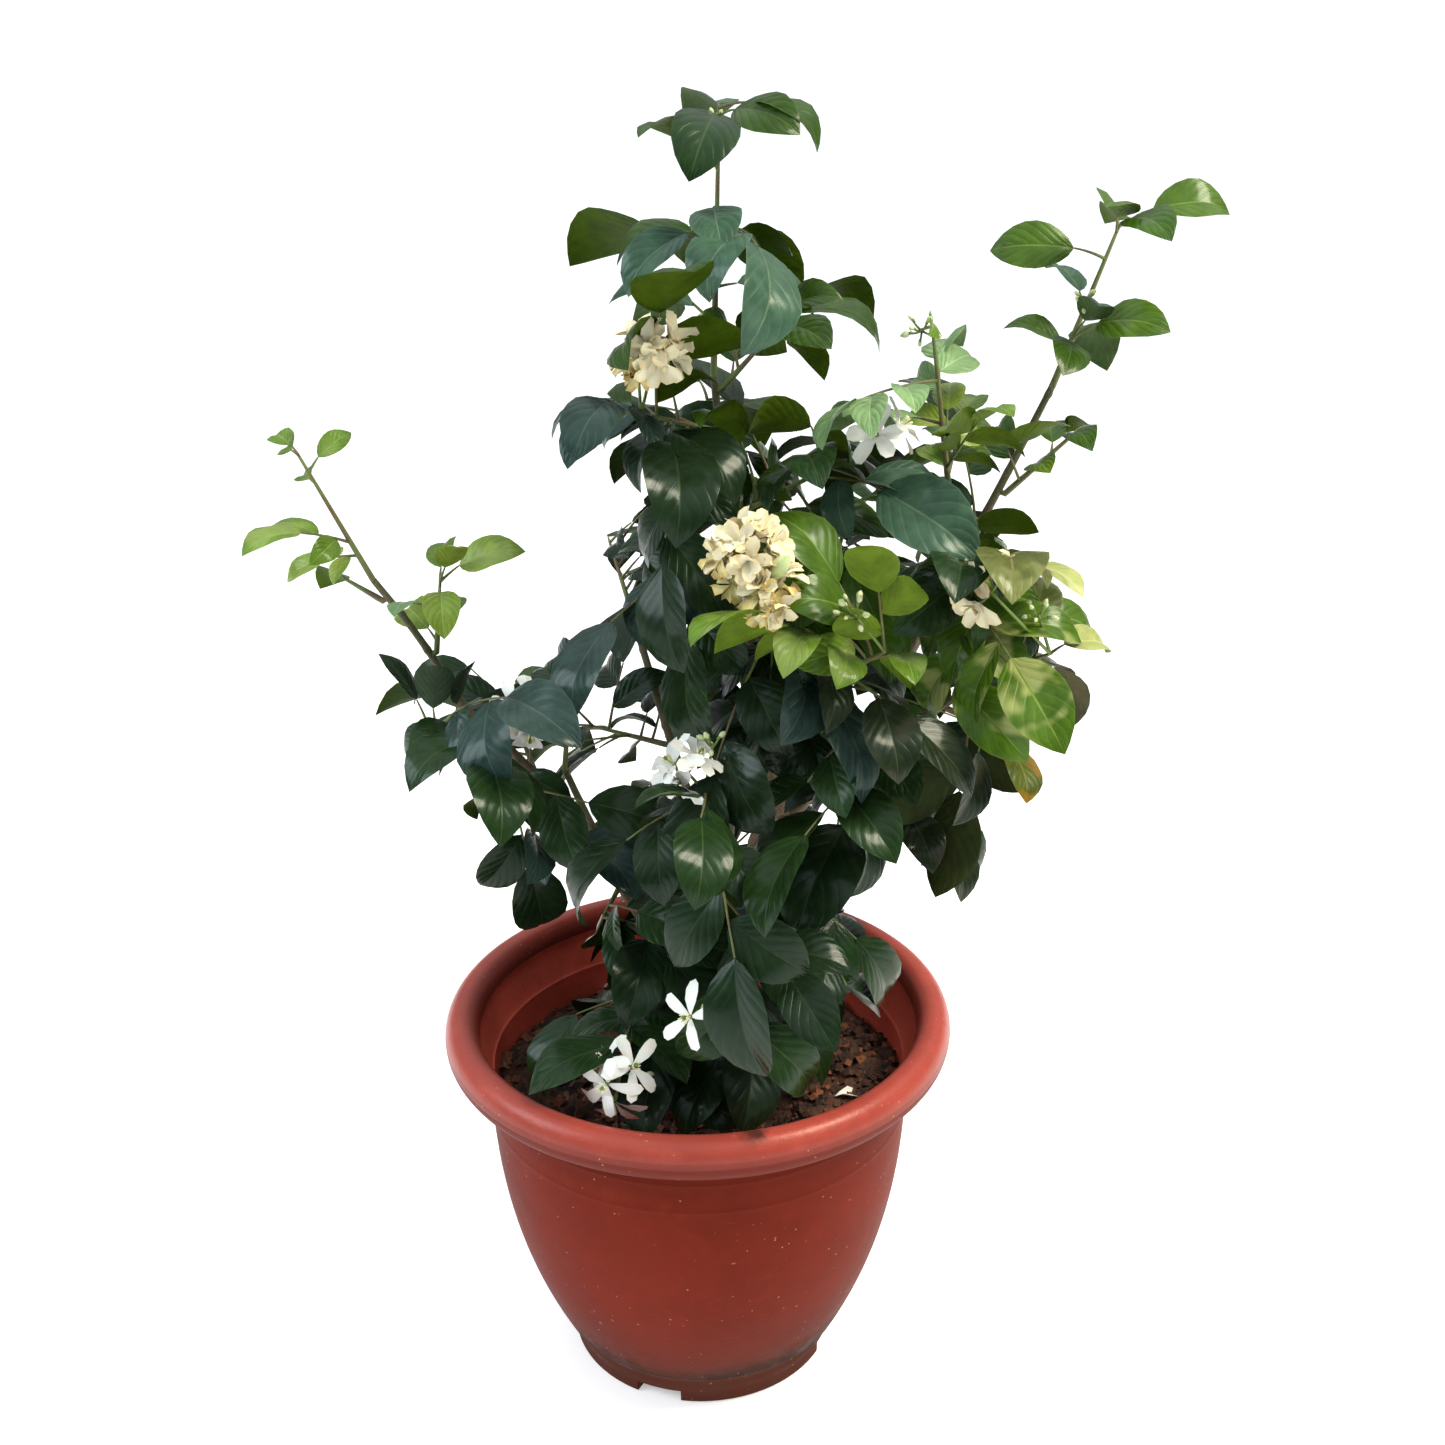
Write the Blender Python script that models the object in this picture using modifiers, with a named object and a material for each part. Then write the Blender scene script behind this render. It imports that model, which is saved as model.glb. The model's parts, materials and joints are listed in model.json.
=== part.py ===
# Orange jasmine shrub in a round plastic pot, in metres with +Z up.
# The origin is the middle of the pot's flat underside. The crown is seen from -Y in the usual view.
#
# The trunk leans up out of the soil and forks into boughs. Every bough is a curve worked out from its
# heading, its length and how far it lifts and sweeps. Each mass of foliage is one stem that carries
# compound leaves: a seed settles how each one leaves the stem, its number of leaflets and their tilt.

import math
import random
from collections import namedtuple

import bmesh
import bpy
import numpy as np
from mathutils import Vector
from mathutils.bvhtree import BVHTree

GAP = 0.0003
TOUCH = 0.00025
WELD = 1e-7
UP = np.array((0.0, 0.0, 1.0))

# Pot
RIM_RADIUS = 0.150
POT_HEIGHT = 0.232
ROLL_WIDTH = 0.020
ROLL_HEIGHT = 0.025
BODY_TOP_RADIUS = 0.1254
BODY_FOOT_RADIUS = 0.0838
FOOT_RADIUS = 0.0813
FOOT_HEIGHT = 0.013
BODY_BULGE = 2.4
BODY_HEIGHTS = (0.197, 0.150, 0.110, 0.076, 0.050, 0.030)
SHOULDER_RADIUS = 0.1305
SHOULDER_HEIGHT = 0.2075
POT_WALL = 0.0030
POT_FLOOR = 0.010
FLOOR_CORNER = 0.006
WALL_HEIGHTS = (0.045, 0.090, 0.174)
LEDGE_RADIUS = 0.124
LEDGE_HEIGHT = 0.197
LEDGE_RISE = 0.001
ROLL_START = 205
ROLL_END = -65
ROLL_STEP = 30
POT_SIDES = 36
NOTCH_COUNT = 4
NOTCH_FIRST = 250.0
NOTCH_WIDTH = 0.028
NOTCH_HEIGHT = 0.008
NOTCH_DEPTH = 0.012
NOTCH_CUTTER = 0.040

# Soil
SOIL_HEIGHT = 0.1800
SOIL_LUMP = 0.0022
SOIL_FLAT = 0.022
SOIL_RINGS = (0.985, 0.84, 0.66, 0.46, 0.24)

# Trunk foot on the soil
FOOT_X = -0.020
FOOT_Y = 0.006
TRUNK_FLARE = 0.0032
FLARE_SHARE = 0.045
ROUND_SIDES = 36

# Leaflets, compound leaves and twigs
LEAF_THICK = 0.0016
LEAF_EDGE = ((0.28, 0.84), (0.68, 0.94))
LEAF_RIB = 0.45
LEAF_SINK = 0.0006
LEAF_CROWD = 0.012
STEM_RADII = (0.0019, 0.0013)
TWIG_RADII = (0.0013, 0.0009)
TWIG_SIDES = 3
TWIG_STEPS = 2
STEM_STEPS = 1

# Blossom
PETALS = 5
PETAL_REACH = 0.0150
PETAL_WAIST = 0.0065
PETAL_RISE = 0.004
FLOWER_THICK = 0.0024
FLOWER_SPREAD = 0.011
FLOWER_REACH = 0.006
FLOWER_ROOT = 0.003
FLOWER_STALK = (0.0011, 0.0009)

Leaf = namedtuple("Leaf", "base along normal length width droop fold")

# Heading and lift in degrees, lengths and radii in metres. A bough leaves its parent at a share of it.
LIMBS = {
    "trunk": dict(parent=None, share=0.0, azimuth=340, rise=70, length=0.191, lift=-4, sweep=32,
                  base=0.0080, tip=0.0052, points=10),
    "leader_bough": dict(parent="trunk", share=1.0, azimuth=156, rise=76, length=0.236, lift=9,
                         sweep=28, base=0.0044, tip=0.0020, points=9),
    "left_bough": dict(parent="trunk", share=0.30, azimuth=171, rise=68, length=0.211, lift=-24,
                       sweep=5, base=0.0042, tip=0.0024, points=8),
    "left_tip_bough": dict(parent="left_bough", share=1.0, azimuth=172, rise=64, length=0.087,
                           lift=-11, sweep=5, base=0.0023, tip=0.0018, points=4),
    "left_rising_bough": dict(parent="left_bough", share=0.46, azimuth=198, rise=68, length=0.058,
                              lift=1, sweep=15, base=0.0025, tip=0.0019, points=4),
    "right_bough": dict(parent="trunk", share=0.93, azimuth=15, rise=41, length=0.096, lift=15,
                        sweep=5, base=0.0042, tip=0.0032, points=5),
    "right_tall_bough": dict(parent="right_bough", share=1.0, azimuth=26, rise=58, length=0.188,
                             lift=8, sweep=-27, base=0.0030, tip=0.0018, points=7),
    "shoot_bough": dict(parent="right_bough", share=0.84, azimuth=357, rise=60, length=0.125,
                        lift=22, sweep=-56, base=0.0025, tip=0.0018, points=5),
    "right_front_bough": dict(parent="right_bough", share=0.60, azimuth=320, rise=30, length=0.098,
                              lift=13, sweep=10, base=0.0028, tip=0.0019, points=5),
    "front_bough": dict(parent="trunk", share=0.43, azimuth=309, rise=64, length=0.140, lift=8,
                        sweep=-49, base=0.0032, tip=0.0020, points=6),
    "front_right_bough": dict(parent="leader_bough", share=0.16, azimuth=292, rise=35, length=0.088,
                              lift=8, sweep=20, base=0.0026, tip=0.0018, points=5),
    "back_left_bough": dict(parent="trunk", share=0.62, azimuth=119, rise=51, length=0.174, lift=6,
                            sweep=0, base=0.0034, tip=0.0020, points=7),
    "back_right_bough": dict(parent="trunk", share=0.81, azimuth=65, rise=49, length=0.166, lift=-1,
                             sweep=-3, base=0.0034, tip=0.0020, points=7),
}

# A mass grows from a place on its bough along its own stem. A seed settles each compound leaf, evenly
# spaced up the stem unless places are given, and 0 leaves a place bare. A blossom names its middle.
MASSES = {
    "crown_tip_leaves": dict(bough="leader_bough", share=1.0, azimuth=50, rise=87, length=0.132, leaf=0.071,
                             droop=40, leaflets=(1, 1, 3),
                             places=(0.5, 0.53, 0.55, 0.57, 0.96, 0.97, 0.98, 1.0, 1.0),
                             seeds=(527, 339, 683, 835, 161, 569, 215, 800, 0)),
    "upper_left_leaves": dict(bough="leader_bough", share=0.88, azimuth=190, rise=16, length=0.040,
                              leaf=0.060, blossom=(-0.019, -0.015, 0.615), flowers=3,
                              seeds=(53, 191, 531, 487)),
    "upper_right_leaves": dict(bough="leader_bough", share=0.97, azimuth=340, rise=48, length=0.042,
                               leaf=0.062, first=0.7, seeds=(708, 566, 656, 169)),
    "upper_back_leaves": dict(bough="leader_bough", share=0.8, azimuth=100, rise=30, length=0.050,
                              leaf=0.060, seeds=(847, 617, 710)),
    "middle_right_leaves": dict(bough="leader_bough", share=0.68, azimuth=5, rise=26, length=0.066,
                                leaf=0.060, blossom=(0.102, -0.015, 0.573), flowers=2,
                                seeds=(661, 76, 184, 13, 457)),
    "middle_left_leaves": dict(bough="leader_bough", share=0.55, azimuth=188, rise=12, length=0.044,
                               leaf=0.060, seeds=(889, 895, 219, 0)),
    "middle_front_leaves": dict(bough="leader_bough", share=0.42, azimuth=285, rise=15, length=0.050,
                                leaf=0.055, blossom=(0.031, -0.060, 0.523), flowers=5,
                                seeds=(596, 722, 210, 328)),
    "middle_back_leaves": dict(bough="leader_bough", share=0.35, azimuth=80, rise=24, length=0.060,
                               leaf=0.060, seeds=(650, 348, 542, 765)),
    "left_tip_leaves": dict(bough="left_tip_bough", share=1.0, azimuth=177, rise=64, length=0.078,
                            leaf=0.036, first=0.3, droop=20, leaflets=(1, 3),
                            seeds=(881, 0, 0, 0, 49, 280)),
    "left_side_leaves": dict(bough="left_tip_bough", share=0.4, azimuth=40, rise=82, length=0.040,
                             leaf=0.048, leaflets=(1, 3), places=(0.15, 0.9, 1.0, 1.0),
                             seeds=(354, 211, 95, 404)),
    "left_outer_leaves": dict(bough="left_tip_bough", share=0.86, azimuth=170, rise=30, length=0.040,
                              leaf=0.048, first=0.6, seeds=(712, 0, 0, 0)),
    "left_joint_leaves": dict(bough="left_bough", share=0.97, azimuth=215, rise=6, length=0.026, leaf=0.056,
                              first=0.5, seeds=(664, 231, 558, 633)),
    "left_middle_leaves": dict(bough="left_bough", share=0.8, azimuth=255, rise=-8, length=0.028,
                               leaf=0.056, first=0.5, seeds=(731, 33, 292, 0)),
    "left_back_leaves": dict(bough="left_bough", share=0.74, azimuth=110, rise=24, length=0.040, leaf=0.056,
                             first=0.5, seeds=(786, 628, 397)),
    "left_rising_leaves": dict(bough="left_rising_bough", share=1.0, azimuth=80, rise=66, length=0.036,
                               leaf=0.048, blossom=(-0.086, -0.012, 0.426), flowers=2,
                               seeds=(516, 0, 0, 384)),
    "left_low_leaves": dict(bough="left_bough", share=0.56, azimuth=225, rise=-18, length=0.030, leaf=0.058,
                            first=0.5, seeds=(543, 0, 0, 0)),
    "left_foot_leaves": dict(bough="left_bough", share=0.34, azimuth=250, rise=-14, length=0.030,
                             leaf=0.056, first=0.5, seeds=(755, 362, 363, 0)),
    "right_tip_leaves": dict(bough="right_tall_bough", share=1.0, azimuth=5, rise=70, length=0.088,
                             leaf=0.056, leaflets=(1, 1, 3),
                             places=(0.26, 0.29, 0.32, 0.35, 0.8, 0.95, 0.97, 1.0, 1.0),
                             seeds=(739, 430, 4, 241, 316, 0, 102, 877, 75)),
    "right_twig_leaves": dict(bough="right_tall_bough", share=0.66, azimuth=2, rise=42, length=0.055,
                              leaf=0.052, first=0.6, leaflets=(1, 1, 3), seeds=(631, 486, 0)),
    "right_back_leaves": dict(bough="right_tall_bough", share=0.42, azimuth=60, rise=24, length=0.046,
                              leaf=0.058, seeds=(789, 103, 580, 484)),
    "shoot_tip_leaves": dict(bough="shoot_bough", share=1.0, azimuth=188, rise=82, length=0.100, leaf=0.038,
                             first=0.25, droop=22, leaflets=(3, 5),
                             seeds=(839, 625, 98, 0, 672, 770, 0, 0, 0)),
    "shoot_low_leaves": dict(bough="shoot_bough", share=0.7, azimuth=310, rise=22, length=0.034, leaf=0.055,
                             seeds=(687, 770, 614, 721)),
    "right_middle_leaves": dict(bough="right_front_bough", share=1.0, azimuth=330, rise=28, length=0.044,
                                leaf=0.058, blossom=(0.153, -0.045, 0.493), flowers=2,
                                seeds=(593, 0, 540, 238, 0)),
    "right_low_leaves": dict(bough="right_front_bough", share=0.66, azimuth=345, rise=-22, length=0.040,
                             leaf=0.062, seeds=(189, 460, 433, 0, 0)),
    "right_foot_leaves": dict(bough="right_bough", share=0.45, azimuth=335, rise=-34, length=0.046,
                              leaf=0.066, seeds=(582, 0, 634, 105)),
    "centre_right_leaves": dict(bough="right_front_bough", share=0.3, azimuth=280, rise=-4, length=0.034,
                                leaf=0.058, seeds=(117, 0, 0, 0)),
    "front_top_leaves": dict(bough="front_right_bough", share=1.0, azimuth=300, rise=32, length=0.034,
                             leaf=0.046, seeds=(335, 55, 547, 0, 396)),
    "front_low_leaves": dict(bough="front_right_bough", share=0.55, azimuth=300, rise=-14, length=0.030,
                             leaf=0.058, seeds=(869, 0, 36)),
    "front_middle_leaves": dict(bough="front_bough", share=1.0, azimuth=240, rise=24, length=0.028,
                                leaf=0.055, blossom=(-0.004, -0.085, 0.419), flowers=2,
                                seeds=(0, 172, 851, 0)),
    "front_left_leaves": dict(bough="front_bough", share=0.6, azimuth=215, rise=0, length=0.034, leaf=0.058,
                              seeds=(588, 0, 0)),
    "front_right_leaves": dict(bough="front_bough", share=0.62, azimuth=322, rise=-4, length=0.038,
                               leaf=0.060, seeds=(442, 0, 0, 638)),
    "back_left_leaves": dict(bough="back_left_bough", share=1.0, azimuth=110, rise=40, length=0.056,
                             leaf=0.060, seeds=(416, 274, 645, 303, 760)),
    "back_left_low_leaves": dict(bough="back_left_bough", share=0.55, azimuth=165, rise=10, length=0.046,
                                 leaf=0.060, seeds=(410, 495, 450, 898)),
    "back_right_leaves": dict(bough="back_right_bough", share=1.0, azimuth=70, rise=38, length=0.056,
                              leaf=0.060, seeds=(454, 847, 386, 817, 240)),
    "back_right_low_leaves": dict(bough="back_right_bough", share=0.55, azimuth=20, rise=10, length=0.046,
                                  leaf=0.060, seeds=(785, 776, 395, 414)),
    "back_low_leaves": dict(bough="trunk", share=0.53, azimuth=95, rise=12, length=0.048, leaf=0.060,
                            seeds=(759, 348, 792, 773)),
    "foot_left_leaves": dict(bough="trunk", share=0.27, azimuth=215, rise=24, length=0.036, leaf=0.060,
                             first=0.5, droop=22, blossom=(-0.040, -0.062, 0.222), flowers=3,
                             seeds=(851, 606, 0, 0, 533)),
    "foot_right_leaves": dict(bough="trunk", share=0.36, azimuth=330, rise=34, length=0.040, leaf=0.066,
                              first=0.5, droop=22, seeds=(514, 0, 0, 0, 824)),
    "foot_front_leaves": dict(bough="trunk", share=0.2, azimuth=280, rise=30, length=0.034, leaf=0.056,
                              first=0.5, droop=22, blossom=(-0.001, -0.050, 0.250), flowers=2,
                              seeds=(553, 0, 251, 0)),
}


def unit(v):
    return v / np.linalg.norm(v)


def heading(azimuth, rise):
    """Unit vector from a compass angle measured from +X and an angle above level."""
    a, r = math.radians(azimuth), math.radians(rise)
    return np.array((math.cos(a) * math.cos(r), math.sin(a) * math.cos(r), math.sin(r)))


def turned(v, axis, degrees):
    a = math.radians(degrees)
    return v * math.cos(a) + np.cross(axis, v) * math.sin(a) + axis * np.dot(axis, v) * (1 - math.cos(a))


def across(along):
    """Two unit vectors square to a heading: one level, and one that points up as far as it can."""
    side = np.cross(along, UP)
    if np.linalg.norm(side) < 0.15:
        side = np.cross(along, np.array((0.3, 1.0, 0.0)))
    side = unit(side)
    return side, np.cross(side, along)


def swept_path(start, azimuth, rise, length, lift, sweep, points):
    """Points of a limb whose rise grows by lift and whose azimuth grows by sweep from start to tip."""
    path = [start]
    for i in range(points - 1):
        share = (i + 0.5) / (points - 1)
        step = heading(azimuth + sweep * share, rise + lift * share)
        path.append(path[-1] + step * (length / (points - 1)))
    return np.array(path)


def arc_path(start, along, normal, length, droop, steps):
    """Points on an arc that sets out along a heading and bends away from the normal by droop degrees."""
    bend = math.radians(max(abs(droop), 0.5))
    path = []
    for i in range(steps + 1):
        angle = bend * i / steps
        forward = along * (length * math.sin(angle) / bend)
        path.append(start + forward - normal * (length * (1 - math.cos(angle)) / bend))
    return np.array(path)


def along_path(path, share):
    """The point at a share of a path's length, and the heading there."""
    steps = np.linalg.norm(np.diff(path, axis=0), axis=1)
    run = np.concatenate(([0.0], np.cumsum(steps)))
    far = share * run[-1]
    i = min(int(np.searchsorted(run, far, side="right")) - 1, len(steps) - 1)
    return path[i] + (path[i + 1] - path[i]) * ((far - run[i]) / steps[i]), unit(path[i + 1] - path[i])


def section(way, radius, sides):
    """The corners of a limb's end face, as vectors from its middle."""
    side, top = across(way)
    turns = [2 * math.pi * k / sides for k in range(sides)]
    return [radius * (side * math.cos(a) + top * math.sin(a)) for a in turns]


def seat_on(path, base, tip, share, way, corners):
    """Where a limb that heads one way starts, so that its end face is a small gap clear of its parent."""
    at, tangent = along_path(path, min(share, 1.0))
    out, surface = tangent, 0.0
    if share < 1.0:
        out = unit(way - tangent * np.dot(way, tangent))
        surface = base + (tip - base) * share
    return at + out * (surface + GAP + max(-np.dot(corner, out) for corner in corners))


def limb_paths():
    """The path of each limb, parents first."""
    paths = {}
    for name, limb in LIMBS.items():
        if limb["parent"] is None:
            start = np.array((FOOT_X, FOOT_Y, SOIL_HEIGHT + GAP))
            collar = start + UP * limb["base"]
            swept = swept_path(collar, limb["azimuth"], limb["rise"], limb["length"], limb["lift"],
                               limb["sweep"], limb["points"])
            paths[name] = np.vstack((start, swept))
            continue
        parent = LIMBS[limb["parent"]]
        way = heading(limb["azimuth"], limb["rise"])
        start = seat_on(paths[limb["parent"]], parent["base"], parent["tip"], limb["share"], way,
                        section(way, limb["base"], ROUND_SIDES))
        paths[name] = swept_path(start, limb["azimuth"], limb["rise"], limb["length"], limb["lift"],
                                 limb["sweep"], limb["points"])
    return paths


def mass_stem(mass, paths):
    """A mass's own stem, from its seat on the bough to its top."""
    bough = LIMBS[mass["bough"]]
    way = heading(mass["azimuth"], mass["rise"])
    start = seat_on(paths[mass["bough"]], bough["base"], bough["tip"], mass["share"], way,
                    section(way, STEM_RADII[0], TWIG_SIDES))
    return arc_path(start, way, across(way)[1], mass["length"], 0, STEM_STEPS)


def spray_share(mass, i):
    """How far up the stem the mass's compound leaf number i grows: evenly spaced, the last at its tip."""
    if "places" in mass:
        return mass["places"][i]
    first = mass.get("first", 0.35)
    return first + (1.0 - first) * i / max(1, len(mass["seeds"]) - 1)


def grow_spray(mass, stem, i, seed):
    """A compound leaf: its twig's path and its leaflets, alternate along it with one at the end."""
    rng = random.Random(seed)
    share = spray_share(mass, i)
    start, tangent = along_path(stem, share)
    out = turned(across(tangent)[1], tangent, rng.uniform(0, 360))
    lean = math.radians(rng.uniform(5, 75) if share > 0.96 else rng.uniform(40, 85))
    way = unit(tangent * math.cos(lean) + out * math.sin(lean))
    count = rng.choice(mass.get("leaflets", (1, 3, 3, 5)))
    size = mass["leaf"] * rng.uniform(0.85, 1.14)
    droop = mass.get("droop", 32) * rng.uniform(0.5, 1.4)
    normal = turned(across(way)[1], way, rng.uniform(-40, 40))
    petiole = size * rng.uniform(0.16, 0.34)
    step = size * rng.uniform(0.24, 0.34)
    length = petiole + step * (count - 1)
    twig = arc_path(start, way, normal, length, droop * 0.5, TWIG_STEPS)
    hand = rng.choice((-1, 1))
    leaves = []
    for k in range(count):
        base, tangent = along_path(twig, (petiole + step * k) / length)
        spread = rng.uniform(-12, 12) if k == count - 1 else hand * rng.uniform(42, 68)
        hand = -hand
        leaf_way = unit(turned(tangent, normal, spread) - 0.12 * UP)
        leaf_normal = turned(normal, tangent, rng.uniform(-25, 25))
        leaf_normal = unit(leaf_normal - leaf_way * np.dot(leaf_normal, leaf_way))
        leaf_length = size * (0.70 + 0.30 * k / max(1, count - 1)) * rng.uniform(0.90, 1.08)
        leaves.append(Leaf(base, leaf_way, leaf_normal, leaf_length, leaf_length * rng.uniform(0.46, 0.58),
                           droop * rng.uniform(0.7, 1.3), rng.uniform(4, 20)))
    return twig, leaves


def leaf_point(leaf, along, out, lift=0.0):
    """A point of a leaflet: along its arched midrib, out to one side and lifted off its surface."""
    bend, fold = math.radians(max(leaf.droop, 0.5)), math.radians(leaf.fold)
    angle = bend * along
    rib = leaf.base + leaf.along * (leaf.length * math.sin(angle) / bend)
    rib = rib - leaf.normal * (leaf.length * (1 - math.cos(angle)) / bend)
    up = leaf.normal * math.cos(angle) + leaf.along * math.sin(angle)
    side = np.cross(leaf.along, leaf.normal)
    half = leaf.width / 2
    return rib + side * (out * half * math.cos(fold)) + up * (abs(out) * half * math.sin(fold) + lift)


def clear_scene():
    for obj in list(bpy.data.objects):
        bpy.data.objects.remove(obj, do_unlink=True)


def new_collection(name):
    group = bpy.data.collections.new(name)
    bpy.context.scene.collection.children.link(group)
    return group


def finish_of(name, colour, roughness):
    made = bpy.data.materials.new(name)
    made.use_nodes = True
    shader = made.node_tree.nodes["Principled BSDF"]
    shader.inputs["Base Color"].default_value = (*colour, 1.0)
    shader.inputs["Roughness"].default_value = roughness
    shader.inputs["Metallic"].default_value = 0.0
    return made


def mesh_object(name, points, faces, group, finish=None):
    mesh = bpy.data.meshes.new(name)
    mesh.from_pydata([tuple(p) for p in points], [], faces)
    mesh.validate()
    obj = bpy.data.objects.new(name, mesh)
    group.objects.link(obj)
    if finish:
        mesh.materials.append(finish)
    return obj


def body_radius(height):
    """Outer radius of the pot's wall: it rises from the foot in a bulge that steepens towards the rim."""
    share = (height - FOOT_HEIGHT) / (LEDGE_HEIGHT - FOOT_HEIGHT)
    share = min(max(share, 0.0), 1.0)
    return BODY_FOOT_RADIUS + (BODY_TOP_RADIUS - BODY_FOOT_RADIUS) * (1 - (1 - share) ** BODY_BULGE)


def pot_profile():
    """Section of the pot, from the middle of its inner floor up, over the rolled rim and down to the foot.

    Under the roll the outer wall leans out to a shoulder, alongside the slope inside above the ledge.
    """
    roll_x = RIM_RADIUS - ROLL_WIDTH / 2
    roll_z = POT_HEIGHT - ROLL_HEIGHT / 2
    corner = POT_FLOOR + FLOOR_CORNER
    inner = [(body_radius(z) - POT_WALL, z) for z in (corner, *WALL_HEIGHTS, LEDGE_HEIGHT)]
    roll = []
    for degrees in range(ROLL_START, ROLL_END - 1, -ROLL_STEP):
        a = math.radians(degrees)
        roll.append((roll_x + ROLL_WIDTH / 2 * math.cos(a), roll_z + ROLL_HEIGHT / 2 * math.sin(a)))
    outer = [(SHOULDER_RADIUS, SHOULDER_HEIGHT)] + [(body_radius(z), z) for z in BODY_HEIGHTS]
    return (
        [(0.0, POT_FLOOR), (inner[0][0] - FLOOR_CORNER, POT_FLOOR)]
        + inner
        + [(LEDGE_RADIUS, LEDGE_HEIGHT + LEDGE_RISE)]
        + roll
        + outer
        + [(BODY_FOOT_RADIUS, FOOT_HEIGHT), (FOOT_RADIUS, 0.0), (0.0, 0.0)]
    )


def build_pot(parts, cutters, finish):
    profile = pot_profile()
    points = [(x, 0.0, z) for x, z in profile]
    mesh = bpy.data.meshes.new("pot")
    mesh.from_pydata(points, [(i, i + 1) for i in range(len(points) - 1)], [])
    pot = bpy.data.objects.new("pot", mesh)
    parts.objects.link(pot)
    mesh.materials.append(finish)
    screw = pot.modifiers.new("turn", "SCREW")
    screw.steps = POT_SIDES
    screw.render_steps = POT_SIDES
    screw.use_merge_vertices = True
    screw.merge_threshold = 0.0001
    for i in range(NOTCH_COUNT):
        turn = math.radians(NOTCH_FIRST + i * 360 / NOTCH_COUNT)
        bpy.ops.mesh.primitive_cube_add(size=1.0)
        cutter = bpy.context.active_object
        cutter.name = f"notch_cutter_{i + 1}"
        for group in list(cutter.users_collection):
            group.objects.unlink(cutter)
        cutters.objects.link(cutter)
        reach = FOOT_RADIUS - NOTCH_DEPTH + NOTCH_CUTTER / 2
        cutter.location = (reach * math.cos(turn), reach * math.sin(turn), 0.0)
        cutter.rotation_euler = (0.0, 0.0, turn)
        cutter.scale = (NOTCH_CUTTER, NOTCH_WIDTH, 2 * NOTCH_HEIGHT)
        cutter.hide_render = True
        cutter.display_type = "WIRE"
        cut = pot.modifiers.new(f"notch {i + 1}", "BOOLEAN")
        cut.operation = "DIFFERENCE"
        cut.object = cutter
    return pot


def soil_height(x, y):
    """Height of the soil's surface: low lumps from crossed waves, flat round the trunk's foot."""
    lump = math.sin(61 * x + 1.3) * math.cos(53 * y) + 0.6 * math.sin(97 * y + 71 * x + 0.7)
    apart = math.hypot(x - FOOT_X, y - FOOT_Y)
    fade = min(1.0, max(0.0, apart / SOIL_FLAT - 1.0))
    return SOIL_HEIGHT + SOIL_LUMP * (lump - 0.3) * fade


def ring_points(radius, height):
    turns = [2 * math.pi * k / POT_SIDES for k in range(POT_SIDES)]
    return [(radius * math.cos(a), radius * math.sin(a), height) for a in turns]


def build_soil(parts, finish):
    """Rings up the inside of the pot's wall, then inwards over the lumpy surface to the trunk's foot."""
    room = POT_WALL + GAP / math.cos(math.pi / POT_SIDES)
    corner = POT_FLOOR + FLOOR_CORNER
    points = ring_points(body_radius(corner) - room - FLOOR_CORNER, POT_FLOOR + GAP)
    for height in (corner, *WALL_HEIGHTS):
        points += ring_points(body_radius(height) - room, height)
    edge = body_radius(WALL_HEIGHTS[-1]) - room
    for share in SOIL_RINGS:
        for x, y, _ in ring_points(edge * share, 0.0):
            x, y = x + FOOT_X * (1 - share), y + FOOT_Y * (1 - share)
            points.append((x, y, soil_height(x, y)))
    faces = [tuple(reversed(range(POT_SIDES)))]
    last = len(points) - POT_SIDES
    for ring in range(0, last, POT_SIDES):
        for k in range(POT_SIDES):
            a, b = ring + k, ring + (k + 1) % POT_SIDES
            faces.append((a, b, b + POT_SIDES, a + POT_SIDES))
    faces.append(tuple(range(last, last + POT_SIDES)))
    return mesh_object("soil", points, faces, parts, finish)


def limb_radius(limb, name, share):
    """A straight taper from base to tip; the trunk also flares where it meets the soil."""
    radius = limb["base"] + (limb["tip"] - limb["base"]) * share
    return radius + (TRUNK_FLARE * math.exp(-share / FLARE_SHARE) if name == "trunk" else 0.0)


def build_limb(name, path, parts, finish):
    """A limb as a bevelled curve, made a mesh with its end caps welded on."""
    limb = LIMBS[name]
    curve = bpy.data.curves.new(name + "_path", "CURVE")
    curve.dimensions = "3D"
    curve.bevel_depth = limb["base"]
    curve.bevel_resolution = 2 if name == "trunk" else 1
    curve.use_fill_caps = True
    line = curve.splines.new("POLY")
    line.points.add(len(path) - 1)
    for i, point in enumerate(path):
        line.points[i].co = (*point, 1.0)
        line.points[i].radius = limb_radius(limb, name, i / (len(path) - 1)) / limb["base"]
    guide = bpy.data.objects.new(name + "_guide", curve)
    parts.objects.link(guide)
    bpy.context.view_layer.update()
    mesh = bpy.data.meshes.new_from_object(guide.evaluated_get(bpy.context.evaluated_depsgraph_get()))
    bpy.data.objects.remove(guide)
    work = bmesh.new()
    work.from_mesh(mesh)
    bmesh.ops.remove_doubles(work, verts=work.verts, dist=0.00005)
    bmesh.ops.recalc_face_normals(work, faces=work.faces)
    work.to_mesh(mesh)
    work.free()
    mesh.materials.clear()
    mesh.materials.append(finish)
    mesh.name = name
    mesh.shade_smooth()
    obj = bpy.data.objects.new(name, mesh)
    parts.objects.link(obj)
    return obj


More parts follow.
